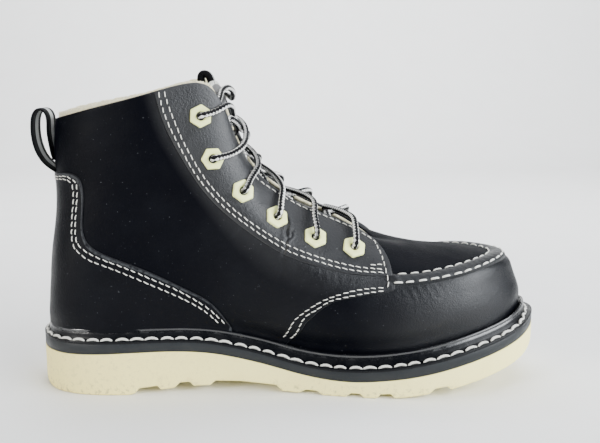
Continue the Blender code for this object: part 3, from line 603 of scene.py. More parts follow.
def wedge_rubber():
    """The cream outsole: pale in front, yellower and grimy at the heel and along its lower edge."""
    clean, aged = (0.97, 0.87, 0.36), (0.90, 0.76, 0.27)
    cloudy, dirty = (0.88, 0.76, 0.30), (0.22, 0.19, 0.14)
    made = Finish("cream_rubber", clean, 0.55, specular_ior_level=0.35)
    behind = made.between(made.axis("X"), -0.16, 0.05, 1.0, 0.0)
    shade = made.mix(made.times(behind, 0.55), clean, aged)
    shade = made.mix(made.between(made.noise(14, detail=5), 0.45, 0.75, 0.0, 0.45), shade, cloudy)
    low = made.between(made.axis("Z"), 0.001, 0.012, 1.0, 0.0)
    grime = made.between(made.noise(2.6, detail=5, rough=0.65), 0.5, 0.68)
    grime = made.times(grime, made.math("MAXIMUM", low, made.times(behind, 0.35)))
    made.colour(made.mix(made.times(grime, 0.6), shade, dirty))
    upright = made.noise(1.0, detail=2, where=made.place((1.0, 1.0, 0.12)))
    made.bump((upright, 0.05), (made.noise(3.0, detail=4), 0.12), (made.noise(0.4), 0.03))
    return made


def thread(name, colour):
    made = Finish(name, colour, 0.75, sheen_weight=0.3, sheen_roughness=0.5)
    ply = made.noise(0.45, detail=2)
    made.colour(made.mix(made.between(ply, 0.35, 0.7, 0.0, 0.5), colour, [c * 0.62 for c in colour]))
    made.bump((ply, 0.08))
    return made


def lace_finish():
    """Round white cord with black lines whose edges are toothed, as the braid makes them."""
    white, black = (0.78, 0.77, 0.74), (0.002, 0.002, 0.003)
    made = Finish("lace", white, 0.85, specular_ior_level=0.2)
    around, along = made.axis("X", "UV"), made.axis("Y", "UV")
    turn = made.math("FRACT", made.times(around, 3.0))
    off = made.math("ABSOLUTE", made.math("SUBTRACT", turn, 0.5))
    width = made.math("ADD", made.times(made.math("PINGPONG", along, 1.05), 0.26), 0.175)
    fleck = made.math("GREATER_THAN", made.noise(0.9, detail=1), 0.66)
    made.colour(made.mix(made.math("MAXIMUM", made.math("LESS_THAN", off, width), fleck), white, black))
    weave = made.math("SINE", made.math("ADD", made.times(along, 7.8), made.times(around, 37.7)))
    made.bump((weave, 0.09), (made.noise(0.4), 0.08))
    return made


def webbing_finish():
    """Black webbing with a grey stripe along its middle. U runs across, V along in millimetres."""
    black, grey = (0.0015, 0.0015, 0.002), (0.42, 0.43, 0.42)
    made = Finish("webbing", black, 0.8, specular_ior_level=0.08)
    middle = made.math("ABSOLUTE", made.math("SUBTRACT", made.axis("X", "UV"), 0.5))
    stripe = made.between(middle, 0.15, 0.17, 1.0, 0.0)
    along = made.times(made.axis("Y", "UV"), 4.6)
    twill = made.math("SINE", made.math("ADD", along, made.times(middle, 60.0)))
    # The stripe darkens where the twill's bump is low: painted shade in the weave's hollows.
    shade = made.mix(made.between(twill, -0.6, 0.9, 0.35, 0.0), grey, (0.2, 0.2, 0.2))
    made.colour(made.mix(stripe, black, shade))
    made.bump((twill, 0.12), (made.noise(0.5), 0.08))
    return made


def lining_finish():
    """Cream brushed textile."""
    cream = (0.84, 0.77, 0.50)
    made = Finish("lining", cream, 0.95, sheen_weight=0.5, sheen_roughness=0.6)
    fuzz = made.noise(0.8, detail=4, rough=0.7)
    made.colour(made.mix(made.between(fuzz, 0.35, 0.7, 0.0, 0.6), cream, (0.42, 0.37, 0.24)))
    made.bump((fuzz, 0.6), (made.noise(3.5, detail=2), 0.8))
    return made


def tongue_finish():
    """Dark leather in the middle, cream gusset and padding at its sides, mesh along its top."""
    black, cream = (0.012, 0.012, 0.013), (0.72, 0.69, 0.52)
    made = Finish("tongue_leather", black, 0.5, specular_ior_level=0.4)
    side, up = made.value("side"), made.value("up")
    light = made.times(made.between(side, 0.50, 0.54), made.between(up, 0.30, 0.36))
    crumple = made.noise(1.2, detail=3)
    pale = made.mix(made.between(crumple, 0.35, 0.7, 0.0, 0.45), cream, (0.45, 0.42, 0.32))
    holes = made.between(made.cells(1.1), 0.30, 0.42, 1.0, 0.0)
    net = made.mix(made.times(holes, 0.7), (0.50, 0.50, 0.44), (0.07, 0.07, 0.06))
    made.colour(made.mix(made.between(up, 0.955, 0.965), made.mix(light, black, pale), net))
    made.rough(made.between(light, 0.0, 1.0, 0.46, 0.8))
    made.bump((made.cells(0.9, "SMOOTH_F1"), 0.05), (crumple, 0.12))
    return made


def plastic_finish():
    """Pale yellow-green eyelet rings, dulled a little by handling."""
    pale = (0.92, 0.94, 0.38)
    made = Finish("eyelet_plastic", pale, 0.38, subsurface_weight=0.05, specular_ior_level=0.5)
    rub = made.between(made.noise(1.5, detail=4), 0.5, 0.75, 0.0, 0.35)
    made.colour(made.mix(rub, pale, (0.70, 0.74, 0.32)))
    made.rough(made.between(rub, 0.0, 0.35, 0.34, 0.55))
    made.bump((made.noise(0.6), 0.02))
    return made


BLACK = (0.0008, 0.0011, 0.0026)
LEATHER = quarter_leather("black_leather", BLACK, 0.43)
EYESTAY_LEATHER = eyestay_leather("eyestay_leather", BLACK, 0.45)
VAMP_LEATHER = vamp_leather("vamp_leather", BLACK, 0.40)
COUNTER_LEATHER = counter_leather("counter_leather", BLACK, 0.42)
CREAM = wedge_rubber()
BAND_GREY = rubber("grey_rubber", (0.016, 0.018, 0.02), 0.42, 0.30, (0.035, 0.036, 0.036))
WELT_BLACK = welt_rubber("black_rubber", (0.002, 0.0024, 0.0036), 0.3)
FOOTBED = rubber("footbed", (0.03, 0.03, 0.032), 0.9, 0.3, (0.09, 0.09, 0.09), bump=0.15)
WHITE = thread("white_thread", (0.70, 0.69, 0.63))
LACE = lace_finish()
WEBBING = webbing_finish()
LINING = lining_finish()
TONGUE = tongue_finish()
PLASTIC = plastic_finish()


# Relief: creases pressed in one by one, in the side view. Columns: x, z, x, z, width, depth
CREASES = {
    "medial": (
        (149.5, 104.0, 149.0, 92.0, 0.8, 0.8), (149.0, 92.0, 147.6, 83.0, 0.7, 0.9),
        (147.6, 83.0, 147.0, 70.0, 0.8, 0.6), (153.6, 97.0, 149.4, 91.0, 0.6, 0.6),
        (156.0, 78.0, 155.0, 66.0, 0.8, 0.25), (160.5, 77.0, 158.6, 62.0, 0.8, 0.3),
        (165.0, 76.0, 163.6, 60.0, 0.7, 0.28), (169.6, 75.0, 168.0, 61.0, 0.8, 0.28),
        (174.4, 74.0, 172.8, 61.0, 0.7, 0.25), (179.0, 73.0, 178.0, 62.0, 0.7, 0.25),
        (184.0, 72.0, 183.0, 64.0, 0.7, 0.22), (189.0, 71.0, 188.5, 65.0, 0.7, 0.2),
        (124.0, 99.0, 119.0, 93.0, 0.7, 0.5), (133.0, 92.0, 129.0, 85.0, 0.8, 0.25),
        (213.0, 65.0, 217.0, 58.0, 0.7, 0.3), (217.0, 65.5, 222.0, 57.0, 0.7, 0.32),
        (221.5, 66.0, 227.0, 57.5, 0.7, 0.35), (226.0, 66.5, 231.6, 58.0, 0.7, 0.32),
        (230.6, 67.0, 236.4, 59.0, 0.7, 0.28), (235.6, 67.6, 241.4, 60.0, 0.7, 0.22),
    ),
    "lateral": (
        (151.0, 103.0, 150.0, 88.0, 0.8, 0.7), (150.0, 88.0, 147.0, 71.0, 0.8, 0.6),
        (160.0, 78.0, 158.0, 64.0, 0.8, 0.3), (168.0, 76.0, 166.5, 61.0, 0.8, 0.28),
        (177.0, 74.0, 176.0, 63.0, 0.7, 0.25), (216.0, 65.0, 221.0, 57.0, 0.7, 0.3),
        (224.0, 66.0, 230.0, 57.0, 0.7, 0.32), (233.0, 67.0, 239.6, 59.0, 0.7, 0.25),
    ),
}


def crease_heights(x, z, lines):
    height = np.zeros(np.shape(x))
    for x0, z0, x1, z1, width, depth in lines:
        length = math.hypot(x1 - x0, z1 - z0)
        dx, dz = (x1 - x0) / length, (z1 - z0) / length
        along = ((x - x0) * dx + (z - z0) * dz) / length
        across = (x - x0) * dz - (z - z0) * dx
        across = across + 0.5 * np.sin(along * 9.0 + x0)
        fade = smooth_step((along + 0.15) / 0.35) * smooth_step((1.15 - along) / 0.35)
        trough = np.exp(-(across / width) ** 2)
        ridges = np.exp(-((np.abs(across) - 2.2 * width) / (1.3 * width)) ** 2)
        height += fade * depth * (0.3 * ridges - trough) * 0.8
    return height


def relief(u, p):
    """How far the leather stands off the last, as it is worn and pulled."""
    x, y, z = p[..., 0], p[..., 1], p[..., 2]
    medial = smooth_step((2.0 - y) / 8.0)
    height = medial * crease_heights(x, z, CREASES["medial"])
    height += (1 - medial) * crease_heights(x, z, CREASES["lateral"])
    waves = np.sin(x * 0.115 + z * 0.05 + 0.6) * np.sin(z * 0.13 - x * 0.03 + y * 0.05)
    ripples = np.sin(x * 0.31 - z * 0.22 + y * 0.21 + 1.0) * np.sin(z * 0.27 + y * 0.17)
    return height + 0.2 * waves + 0.05 * ripples


def cover(u, v, offset):
    """Points a distance off the upper, following its creases."""
    p = surface(u, np.clip(v, 0, None))
    lift = np.asarray(offset) + relief(u, p)
    return p + surface_normal(u, np.clip(v, 0, 1)) * lift[..., None]


# Panels of leather, with rounded cut edges
LIP = ((0.0, -0.3), (0.0, 0.45), (0.25, 0.85), (0.7, 1.0))    # distance in from the edge, share of thickness
UNCUT = 50.0    # distance in given where no cut edge is near


def lipped(count, length, start, end):
    """Steps from 0 to 1 with a lip at either end: places, shares of thickness, distances in."""
    places = np.linspace(0, 1, count)
    margin = 1.3 / length
    low, high = margin if start else -1.0, 1 - margin if end else 2.0
    places = places[(places > low) & (places < high)]
    shares = np.ones(len(places))
    lip = np.array(LIP)
    if start:
        places = np.concatenate([lip[:, 0] / length, places])
        shares = np.concatenate([lip[:, 1], shares])
    if end:
        places = np.concatenate([places, 1 - lip[::-1, 0] / length])
        shares = np.concatenate([shares, lip[::-1, 1]])
    return places, shares, places * length


def panel(name, where, across, up, base, thickness, finish, foot_cut=True, extra=None, stands_for=()):
    """A sheet of leather. where(s, t) gives u and v; across and up are (steps, length in mm).
    Its edges are cut, apart from one that runs under the welt. extra adds values for its points."""
    s, s_share, s_in = lipped(*across, True, True)
    t, t_share, t_in = lipped(*up, foot_cut, True)
    u, v = where(s[None, :], t[:, None])
    share = np.minimum(s_share[None, :], t_share[:, None])
    outer = cover(u, v, base + thickness * share)
    inner = cover(u, v, base + thickness * np.minimum(share, -0.3) - 0.1)
    inset = np.minimum(np.minimum(s_in, across[1] - s_in)[None], (up[1] - t_in)[:, None])
    if foot_cut:
        inset = np.minimum(inset, t_in[:, None])
    values = {"inset": layers(np.minimum(inset, UNCUT), np.full(inset.shape, UNCUT))}
    points = layers(outer, inner)
    if extra:
        values.update(extra(points))
    piece(name, points, slab_faces(*inset.shape), finish, "black_leather", values=values,
          stands_for=stands_for)


SHELL_STEPS = 420
LEATHER_SHEET = 0.95
COUNTER_SHEET = 1.15
WALL = 2.4
UNDER_WELT_V = 0.03    # where the quarters and the counter end, under the welt


def build_vamp():
    """The vamp and toe, as one shell right round the last."""
    v = np.concatenate([np.linspace(0.0, 0.3, 25, endpoint=False), np.linspace(0.3, 0.62, 33, endpoint=False),
                        np.linspace(0.62, 1, 30)])
    u = np.linspace(0, 1, SHELL_STEPS, endpoint=False)
    u, v = np.broadcast_arrays(u[None], v[:, None])
    in_front = smooth_step((LAST_STATION - 7.9 - np.abs(u * RING - LAST_STATION)) / 0.2)
    apron = smooth_step((v - 0.49) / 0.02) * in_front
    values = {"inset": np.full(2 * u.size, UNCUT), "apron": layers(apron, apron)}
    piece("vamp", layers(cover(u, v, 0.0), cover(u, v, -1.2)), slab_faces(*u.shape, wrap=True), VAMP_LEATHER,
          "black_leather", values=values, stands_for=("upper",))


def build_lining():
    """Cream lining inside, standing a little proud of the leather at the collar and the throat."""
    u = np.linspace(0, 1, SHELL_STEPS, endpoint=False)
    edge = surface(u, np.ones(len(u)))
    rise = np.linalg.norm(edge - surface(u, np.full(len(u), 0.96)), axis=1) / 0.04
    x, y = edge[:, 0], edge[:, 1]
    behind, outer_side = smooth_step((75.0 - x) / 60.0), smooth_step(y / 20.0)
    throat, collar = smooth_step((x - 100.0) / 8.0), smooth_step((150.0 - x) / 40.0)
    fluff = 0.45 * np.sin(u * 900.0) * np.sin(u * 517.0 + 1.0) + 0.3 * np.sin(u * 1570.0) * np.sin(u * 311.0)
    lift = 0.9 + 2.2 * behind + 2.0 * outer_side * collar + 1.3 * throat * smooth_step((165 - x) / 25)
    top = 1 + (lift + fluff * collar) / rise
    share = np.linspace(0.0, 1.0, 60)[:, None]
    v = 0.02 + share * (top - 0.02)[None]
    u = np.broadcast_to(u[None], v.shape)
    near_rim = smooth_step((share - 0.97) / 0.03)
    outer = cover(u, v, -1.25 + 1.0 * near_rim - 0.45 * smooth_step((share - 0.993) / 0.007))
    inner = cover(u, v, -WALL - 0.1 + 0.2 * near_rim)
    piece("lining", layers(outer, inner), slab_faces(*v.shape, wrap=True), LINING)


# Front edge of the quarters, from the sole up to the throat. Columns: height v, station
QUARTER_FRONT = (
    (0.03, 5.42), (0.107, 5.66), (0.15, 5.76), (0.197, 5.92), (0.254, 6.25), (0.304, 6.58), (0.336, 6.86),
    (0.386, 7.34), (0.400, 7.60), (0.412, 7.74), (0.43, 7.82), (0.476, 7.88), (0.53, 7.95), (0.594, 8.06),
    (0.695, 8.26), (0.807, 8.49), (0.874, 8.62), (1.0, 8.80),
)


def quarter_front(v):
    """The station of the quarters' front edge at a height, with its corners rounded."""
    heights, stations = np.array(QUARTER_FRONT).T
    fine = np.linspace(-0.1, 1.1, 961)
    soft = np.convolve(np.interp(fine, heights, stations), np.ones(9) / 9, mode="same")
    return np.interp(v, fine[10:-10], soft[10:-10])


# The eyestay's lower edge in the side view. Columns: x, z
EYESTAY_EDGE = (
    (76.3, 175.6), (80.6, 160.0), (91.0, 138.5), (105.2, 117.4), (121.5, 102.0), (135.3, 91.8),
    (148.4, 84.0), (168.0, 76.8), (190.0, 71.9), (206.5, 70.9),
)


def sheen_by_eyestay(points):
    """1 beside the eyestay's edge, fading down the quarter, wider to the front."""
    edge = evenly(EYESTAY_EDGE, 160)
    away = np.sqrt(((points[:, None, ::2] - edge[None]) ** 2).sum(-1)).min(1)
    reach = 9.0 + 21.0 * smooth_step((points[:, 0] - 95.0) / 50.0)
    return {"sheen": np.clip(1 - away / reach, 0, 1) ** 1.3}


def build_quarters():
    def where(s, t):
        v = UNDER_WELT_V + 0.968 * t
        return np.broadcast_arrays((1 - 2 * s) * quarter_front(v) / RING, v * np.ones_like(s))

    panel("quarters", where, (380, 420.0), (120, 125.0), 0.0, LEATHER_SHEET, LEATHER,
          foot_cut=False, extra=sheen_by_eyestay)


EYESTAY_BACK = 3.22    # station of its back end at the collar
EYESTAY_TOP_V = 0.998


def build_eyestay(side):
    lower = find_uv(evenly(EYESTAY_EDGE, 40), side)
    low_stations = (lower[:, 0] if side == "medial" else 1 - lower[:, 0]) * RING
    steps = np.linspace(0, 1, len(lower))
    front = quarter_front(EYESTAY_TOP_V)

    def where(s, t):
        k_low, v_low = np.interp(s, steps, low_stations), np.interp(s, steps, lower[:, 1])
        v = v_low + (EYESTAY_TOP_V - v_low) * t
        k = k_low + (EYESTAY_BACK + (front - EYESTAY_BACK) * s - k_low) * t
        k_end = k_low[:, -1:] + (front - k_low[:, -1:]) * t
        return station(k + s ** 6 * (quarter_front(v) - 0.01 - k_end), side), v

    panel("eyestay_" + side, where, (330, 185.0), (70, 38.0), LEATHER_SHEET, LEATHER_SHEET, EYESTAY_LEATHER,
          stands_for=("eyestay_" + side,))


# The counter's edge in the side view, from the sole up. Columns: x, z
COUNTER_EDGE = (
    (117.0, 38.5), (110.5, 49.0), (103.4, 56.5), (93.0, 62.4), (76.4, 71.0), (63.0, 77.0), (48.5, 82.4),
    (40.0, 86.4), (34.8, 91.0), (32.8, 97.0), (33.2, 109.0), (33.4, 121.0), (30.8, 127.6), (24.5, 130.0),
    (16.0, 129.4),
)
COUNTER_TOP_V = 0.683    # its top, at the middle of the heel


def build_counter():
    edge = np.concatenate([find_uv(evenly(COUNTER_EDGE, 60), "medial"), [(0.0, COUNTER_TOP_V)]])
    steps = np.linspace(0, 1, len(edge))

    def where(s, t):
        turn = 1 - 2 * s
        a = 1 - np.abs(turn)
        u_top, v_top = np.interp(a, steps, edge[:, 0]), np.interp(a, steps, edge[:, 1])
        u_foot = edge[0, 0] * (1 - a)
        return np.sign(turn) * (u_foot + (u_top - u_foot) * t), UNDER_WELT_V + (v_top - UNDER_WELT_V) * t

    panel("heel_counter", where, (300, 330.0), (56, 78.0), LEATHER_SHEET, COUNTER_SHEET, COUNTER_LEATHER,
          foot_cut=False, stands_for=("heel_counter",))


# Pinched seam round the apron. Columns: height v, height off the leather in mm
SEAM_PROFILE = (
    (0.446, -0.3), (0.456, 0.15), (0.464, 0.9), (0.472, 1.5), (0.482, 1.85), (0.497, 2.05), (0.515, 2.1),
    (0.530, 1.95), (0.541, 1.6), (0.549, 1.0), (0.555, 0.35), (0.562, -0.3),
)
SEAM_START = 7.72    # station


def build_apron_seam():
    k = np.linspace(SEAM_START, RING - SEAM_START, 260)
    t = np.linspace(0, 1, 26)
    v, h = Spline(np.linspace(0, 1, len(SEAM_PROFILE)), SEAM_PROFILE)(t).T
    u, v = np.broadcast_arrays(k[None] / RING, v[:, None])
    fade = smooth_step((LAST_STATION - SEAM_START - np.abs(k - LAST_STATION)) / 0.25)
    height = h[:, None] * (0.25 + 0.75 * fade)[None] + 0.05 * np.sin(k * 38.0)[None] * (h[:, None] > 1)
    # The ridge takes the eyestay's finish, whose greyer colour is painted sheen.
    piece("apron_seam_ridge", layers(cover(u, v, height), cover(u, v, -0.6)), slab_faces(*u.shape),
          EYESTAY_LEATHER, "black_leather", values={"inset": np.full(2 * u.size, UNCUT)},
          stands_for=("apron_seam",))


# One stitch from end to end. Columns: share of its length, height and radius by the thread's radius
STITCH = ((-0.5, -1.0, 0.55), (-0.4, 0.1, 0.9), (-0.2, 0.75, 1.0), (0.0, 0.9, 1.0), (0.2, 0.75, 1.0),
          (0.4, 0.1, 0.9), (0.5, -1.0, 0.55))
THREAD_SIDES = 7


def stitches(soup, path, normals, pitch, length, radius, lift, slant=0.0, arch=0.0):
    """Short threads along a path: each dips at both ends."""
    run = run_along(path)
    count = max(1, int(round(run[-1] / pitch)))
    pitch = run[-1] / count
    share, sink, girth = np.array(STITCH).T
    faces = tube_faces(len(share), THREAD_SIDES)
    bow = (1 - (2 * share) ** 2) * arch

    def at(s, field):
        return np.stack([np.interp(s, run, field[:, i]) for i in range(3)], -1)

    for i in range(count):
        uneven = math.sin(i * 2.4 + count)
        s = (i + 0.5 + 0.04 * uneven) * pitch + share * length * (1 + 0.06 * math.sin(i * 5.1))
        s = np.clip(s, 0, run[-1])
        n = unit(at(s, normals))
        d = unit(at(np.clip(s + 0.3, 0, run[-1]), path) - at(np.clip(s - 0.3, 0, run[-1]), path))
        b = np.cross(d, n)
        aside = (slant + 0.12 * radius * uneven) * share * 2 + bow
        centre = at(s, path) + n * (lift + sink * radius)[:, None] + b * aside[:, None]
        ring = round_line(n, b, THREAD_SIDES) * (girth * radius)[:, None, None]
        soup.add(centre[:, None] + ring, faces)


def row_on_last(points, side, lift, count=400):
    """A row drawn in the side view, as points on the leather and their normals."""
    uv = find_uv(evenly(points, 60), side)
    uv = evenly(uv * (RING, 1), count) / (RING, 1)
    return cover(uv[:, 0], uv[:, 1], lift), surface_normal(uv[:, 0], uv[:, 1])


def row_of_stations(points, side, lift, count=400):
    """A row given by stations and heights v."""
    line = evenly(points, count)
    u = station(line[:, 0], side)
    return cover(u, line[:, 1], lift), surface_normal(u, line[:, 1])


# Rows drawn in the side view, as x and z
EYESTAY_ROWS = (
    ((78.4, 176.2), (80.0, 169.0), (82.7, 160.5), (87.4, 150.0), (92.9, 139.4), (99.9, 127.8),
     (106.9, 119.1), (111.7, 113.9), (122.9, 104.2), (130.0, 99.0), (136.5, 94.3), (143.0, 90.2),
     (149.1, 86.6), (156.7, 83.2), (168.1, 79.2), (178.8, 75.9), (192.6, 73.2), (205.4, 72.2)),
    ((81.4, 176.6), (83.5, 168.9), (86.8, 159.9), (91.6, 148.5), (96.4, 139.3), (102.7, 128.8),
     (108.9, 120.8), (122.8, 107.3), (133.2, 99.5), (145.7, 91.4), (158.8, 84.9), (176.4, 78.9),
     (189.5, 75.7), (205.0, 73.8)),
    ((196.9, 76.2), (205.2, 76.2)),
)
# Rows drawn on the last, as stations and heights v
THROAT_ROW = (
    (5.95, 0.905), (6.14, 0.912), (6.5, 0.945), (6.92, 0.966), (7.37, 0.970), (7.84, 0.966), (8.2, 0.955),
    (8.42, 0.925), (8.50, 0.874), (8.37, 0.807), (8.24, 0.75), (8.12, 0.695), (7.93, 0.594), (7.83, 0.529),
    (7.76, 0.476), (7.68, 0.43),
)
VAMP_ROWS = (
    ((7.63, 0.436), (7.17, 0.403), (6.77, 0.352), (6.49, 0.313), (6.17, 0.268), (5.84, 0.221), (5.61, 0.172),
     (5.41, 0.082)),
    ((7.60, 0.414), (7.24, 0.386), (6.78, 0.336), (6.51, 0.304), (6.18, 0.254), (5.84, 0.197), (5.60, 0.107),
     (5.54, 0.085)),
)
COUNTER_ROWS = (
    ((0.3, 0.652), (1.02, 0.650), (1.34, 0.642), (1.50, 0.622), (1.60, 0.586), (1.60, 0.516), (1.58, 0.466),
     (1.58, 0.421), (1.60, 0.395), (1.67, 0.369), (1.79, 0.353), (1.99, 0.335), (2.12, 0.325), (2.72, 0.284),
     (3.10, 0.255), (3.55, 0.222), (3.88, 0.190), (4.10, 0.155), (4.28, 0.096)),
    ((0.3, 0.634), (1.00, 0.632), (1.30, 0.624), (1.42, 0.606), (1.48, 0.575), (1.49, 0.516), (1.47, 0.466),
     (1.47, 0.421), (1.49, 0.393), (1.56, 0.363), (1.70, 0.343), (1.92, 0.321), (2.10, 0.309), (2.70, 0.268),
     (3.08, 0.239), (3.52, 0.205), (3.82, 0.176), (4.00, 0.145), (4.16, 0.090)),
)
APRON_INNER = (
    (8.07, 0.556), (8.65, 0.564), (9.19, 0.564), (9.72, 0.560), (10.27, 0.558), (10.83, 0.558), (11.0, 0.558),
)
APRON_OUTER = (
    (7.82, 0.472), (8.28, 0.480), (8.77, 0.482), (9.32, 0.478), (9.84, 0.478), (10.30, 0.484), (10.56, 0.488),
    (11.0, 0.490),
)
SEAM_THREAD = 0.3
# Columns: how the row is drawn, the row, how high the leather is there, pitch, length of a stitch
SEAMS = {
    "eyestay": [(row_on_last, row, 2 * LEATHER_SHEET, 4.2, 3.25) for row in EYESTAY_ROWS]
    + [(row_of_stations, THROAT_ROW, 2 * LEATHER_SHEET, 4.3, 3.3)],
    "quarter": [(row_of_stations, row, LEATHER_SHEET, 4.1, 3.2) for row in VAMP_ROWS],
    "counter": [(row_of_stations, row, LEATHER_SHEET + COUNTER_SHEET, 4.3, 3.35) for row in COUNTER_ROWS],
}


def build_seams():
    for side in SIDES:
        slant = 0.22 if side == "medial" else -0.22
        for name, rows in SEAMS.items():
            soup = Soup()
            for draw, row, lift, pitch, length in rows:
                stitches(soup, *draw(row, side, lift), pitch, length, SEAM_THREAD, 0.0, slant)
            soup.build("stitches_%s_%s" % (name, side), WHITE)
    apron = Soup()
    for row, lift, radius in ((APRON_INNER, 0.3, 0.42), (APRON_OUTER, 1.8, 0.55)):
        whole = list(row) + [(RING - k, v) for k, v in row[-2::-1]]
        stitches(apron, *row_of_stations(whole, "medial", lift, count=1200), 7.1, 5.2, radius, 0.0)
    apron.build("stitches_apron", WHITE)


# Welt. Columns: distance in from the sole's edge at the toe, height above the band's top
WELT_PROFILE = (
    (0.0, -1.6), (0.0, -0.5), (0.12, -0.12), (0.5, 0.12), (1.1, 0.08), (1.9, 0.0), (2.7, 0.15), (3.6, 0.6),
    (4.2, 1.0), (4.6, 1.9), (5.0, 3.6), (5.3, 4.9), (5.6, 5.5), (5.55, 5.9), (5.45, 6.4), (5.6, 6.9),
    (6.0, 7.2), (6.5, 7.2), (6.9, 6.9), (7.1, 6.3), (7.6, 5.8), (8.6, 5.6), (9.2, 5.6), (9.9, 5.4),
    (10.0, -1.6),
)
BEAD = (5.1, 7.3)    # between these distances in, the welt is a glossy bead
RING_STEPS = 560


def outline_steps(count=RING_STEPS):
    """Plan parameters at equal distances round the sole."""
    t = np.linspace(0, 1, 8001)
    run = run_along(PLAN_LOOP(t))
    return np.interp(np.linspace(0, run[-1], count, endpoint=False), run, t)


def edge_points(t, inset, height):
    """Points at an inset from the sole's edge and a height over the band's top."""
    edge_x = plan_point(t)[..., 0]
    p = plan_point(t, inset * welt_scale(edge_x))
    tall = np.where(np.asarray(height) > 0, height * welt_rise(edge_x), height)
    return raised(p, BAND_TOP(p[..., 0]) + tall)


def build_welt():
    t = outline_steps()
    points = np.stack([edge_points(t, inset, height) for inset, height in WELT_PROFILE])
    bead = [float(BEAD[0] < inset < BEAD[1]) for inset, _ in WELT_PROFILE]
    piece("welt_ring", points, ring_faces(*points.shape[:2]), WELT_BLACK, "black_rubber",
          values={"bead": np.repeat(bead, len(t))}, sharp=50, stands_for=("welt",))


def build_welt_stitches():
    """Thick white threads, each a shallow arch, with its ends pulled down into the welt."""
    t = np.append(outline_steps(2400), 1.0)
    tip = 1.6 * smooth_step((plan_point(t)[:, 0] - 292.0) / 10.0)
    path = edge_points(t, 1.55 + tip, 0.02 + 0.2 * tip)
    inner = edge_points(t, 2.6 + tip, 0.1 + 0.3 * tip)
    normals = np.cross(np.gradient(path, axis=0), inner - path)
    normals *= np.sign(normals[:, 2:3])
    soup = Soup()
    stitches(soup, path, normals, 8.7, 8.5, 0.84, -0.1, arch=-1.15)
    soup.build("stitches_welt", WHITE)


# Midsole band: a dark strip between welt and outsole. Columns: distance in, share of its height
BAND_PROFILE = ((3.0, 0.0), (0.25, 0.0), (0.0, 0.04), (0.0, 0.5), (0.0, 0.96), (0.25, 1.0), (3.0, 1.0))


def build_band():
    t, rings = outline_steps(), []
    for inset, share in BAND_PROFILE:
        p = plan_point(t, inset + 0.12)
        low, high = BAND_BASE(p[:, 0]) + 0.1, BAND_TOP(p[:, 0]) - 0.9
        rings.append(raised(p, low + (high - low) * share))
    piece("midsole_band", rings, ring_faces(len(rings), len(t)), BAND_GREY, "grey_rubber", sharp=60,
          stands_for=("midsole",))


# Outsole's tread line. Columns: x, height of the underside; steep pairs are the sides of the lugs
TREAD = (
    (0, 6.0), (2, 2.6), (6, 0.6), (10, 0.0), (57, 0.0), (60.0, 0.9),
    (62.2, 3.8), (73.0, 5.0), (75.0, 2.6), (83.0, 3.4),
    (86.0, 6.6), (92.0, 6.9), (94.2, 4.3), (104.0, 4.6),
    (107.0, 7.3), (122.0, 6.9), (143.0, 4.8), (146.4, 1.3), (156.4, 0.6),
    (160.4, 2.6), (167.0, 2.3), (170.0, 0.0), (184.0, 0.0),
    (186.2, 2.2), (191.8, 2.2), (194.0, 0.0), (201.4, 0.0),
    (203.4, 2.5), (209.4, 2.8), (211.8, 0.4), (219.0, 0.9), (232.0, 2.7),
    (235.0, 5.7), (242.4, 6.8), (245.0, 4.7), (253.0, 6.6), (263.0, 9.0),
    (274.0, 12.0), (286.0, 15.6), (295.0, 18.4), (300.0, 20.6), (303.5, 23.4), (305.0, 27.0),
)
SOLE_LENGTH = 305.0


def tread(x):
    """The underside, with its corners worn a little round."""
    table = np.array(TREAD, float)
    fine = np.linspace(-2, 307, 3091)
    line = np.interp(fine, table[:, 0], table[:, 1])
    soft = np.convolve(np.pad(line, 4, mode="edge"), np.ones(9) / 9, mode="valid")
    return np.maximum(np.interp(x, fine, soft), 0.0)


def build_outsole():
    ends = 22 * (1 - np.cos(np.linspace(0, math.pi / 2, 26)))
    x = np.concatenate([ends, np.arange(22.5, 283.0, 0.75), SOLE_LENGTH - ends[::-1]])
    x[0], x[-1] = 0.02, SOLE_LENGTH - 0.02
    low, high = tread(x), BAND_BASE(x)
    medial, lateral = [plan_point(plan_parameter(side, x))[:, 1] for side in SIDES]
    width = lateral - medial
    bevel = np.minimum(1.3, width * 0.3)
    wall = high - low - bevel
    turn = np.linspace(0, math.pi / 2, 5)
    arc = [(bevel * (1 - math.cos(a)), low + bevel * (1 - math.sin(a))) for a in turn]
    section = [(medial, low + bevel + wall * share) for share in (1.0, 0.72, 0.4)]
    section += [(medial + y, z) for y, z in arc]
    section += [(medial + bevel + (width - 2 * bevel) * share, low) for share in np.linspace(0.1, 0.9, 9)]
    section += [(lateral - y, z) for y, z in arc[::-1]]
    section += [(lateral, low + bevel + wall * share) for share in (0.4, 0.72, 1.0)]
    points = np.stack([np.stack([x, y, z], -1) for y, z in section], 1)
    piece("outsole_wedge", points, tube_faces(*points.shape[:2]), CREAM, "cream_rubber", sharp=40,
          stands_for=("outsole",))


# Columns: share of the way from the footbed's middle line to its edge, height over the band's top
FOOTBED_PROFILE = ((1.0, -1.0), (1.0, 3.2), (0.985, 3.9), (0.94, 4.0), (0.8, 3.4), (0.55, 3.0), (0.25, 3.0),
                   (0.02, 3.0))


def build_footbed():
    t, rings = outline_steps(260), []
    edge = plan_point(t, WELT_WIDTH * welt_scale(plan_point(t)[:, 0]) + FOOT_GAP + WALL + 0.6)
    middle = np.stack([12 + edge[:, 0] * 0.93, np.full(len(edge), 3.0)], -1)
    for share, rise in FOOTBED_PROFILE:
        p = middle + (edge - middle) * share
        rings.append(raised(p, BAND_TOP(p[:, 0]) + rise))
    piece("footbed", rings, tube_faces(len(rings), len(t)), FOOTBED, "footbed", sharp=60,
          stands_for=("insole",))


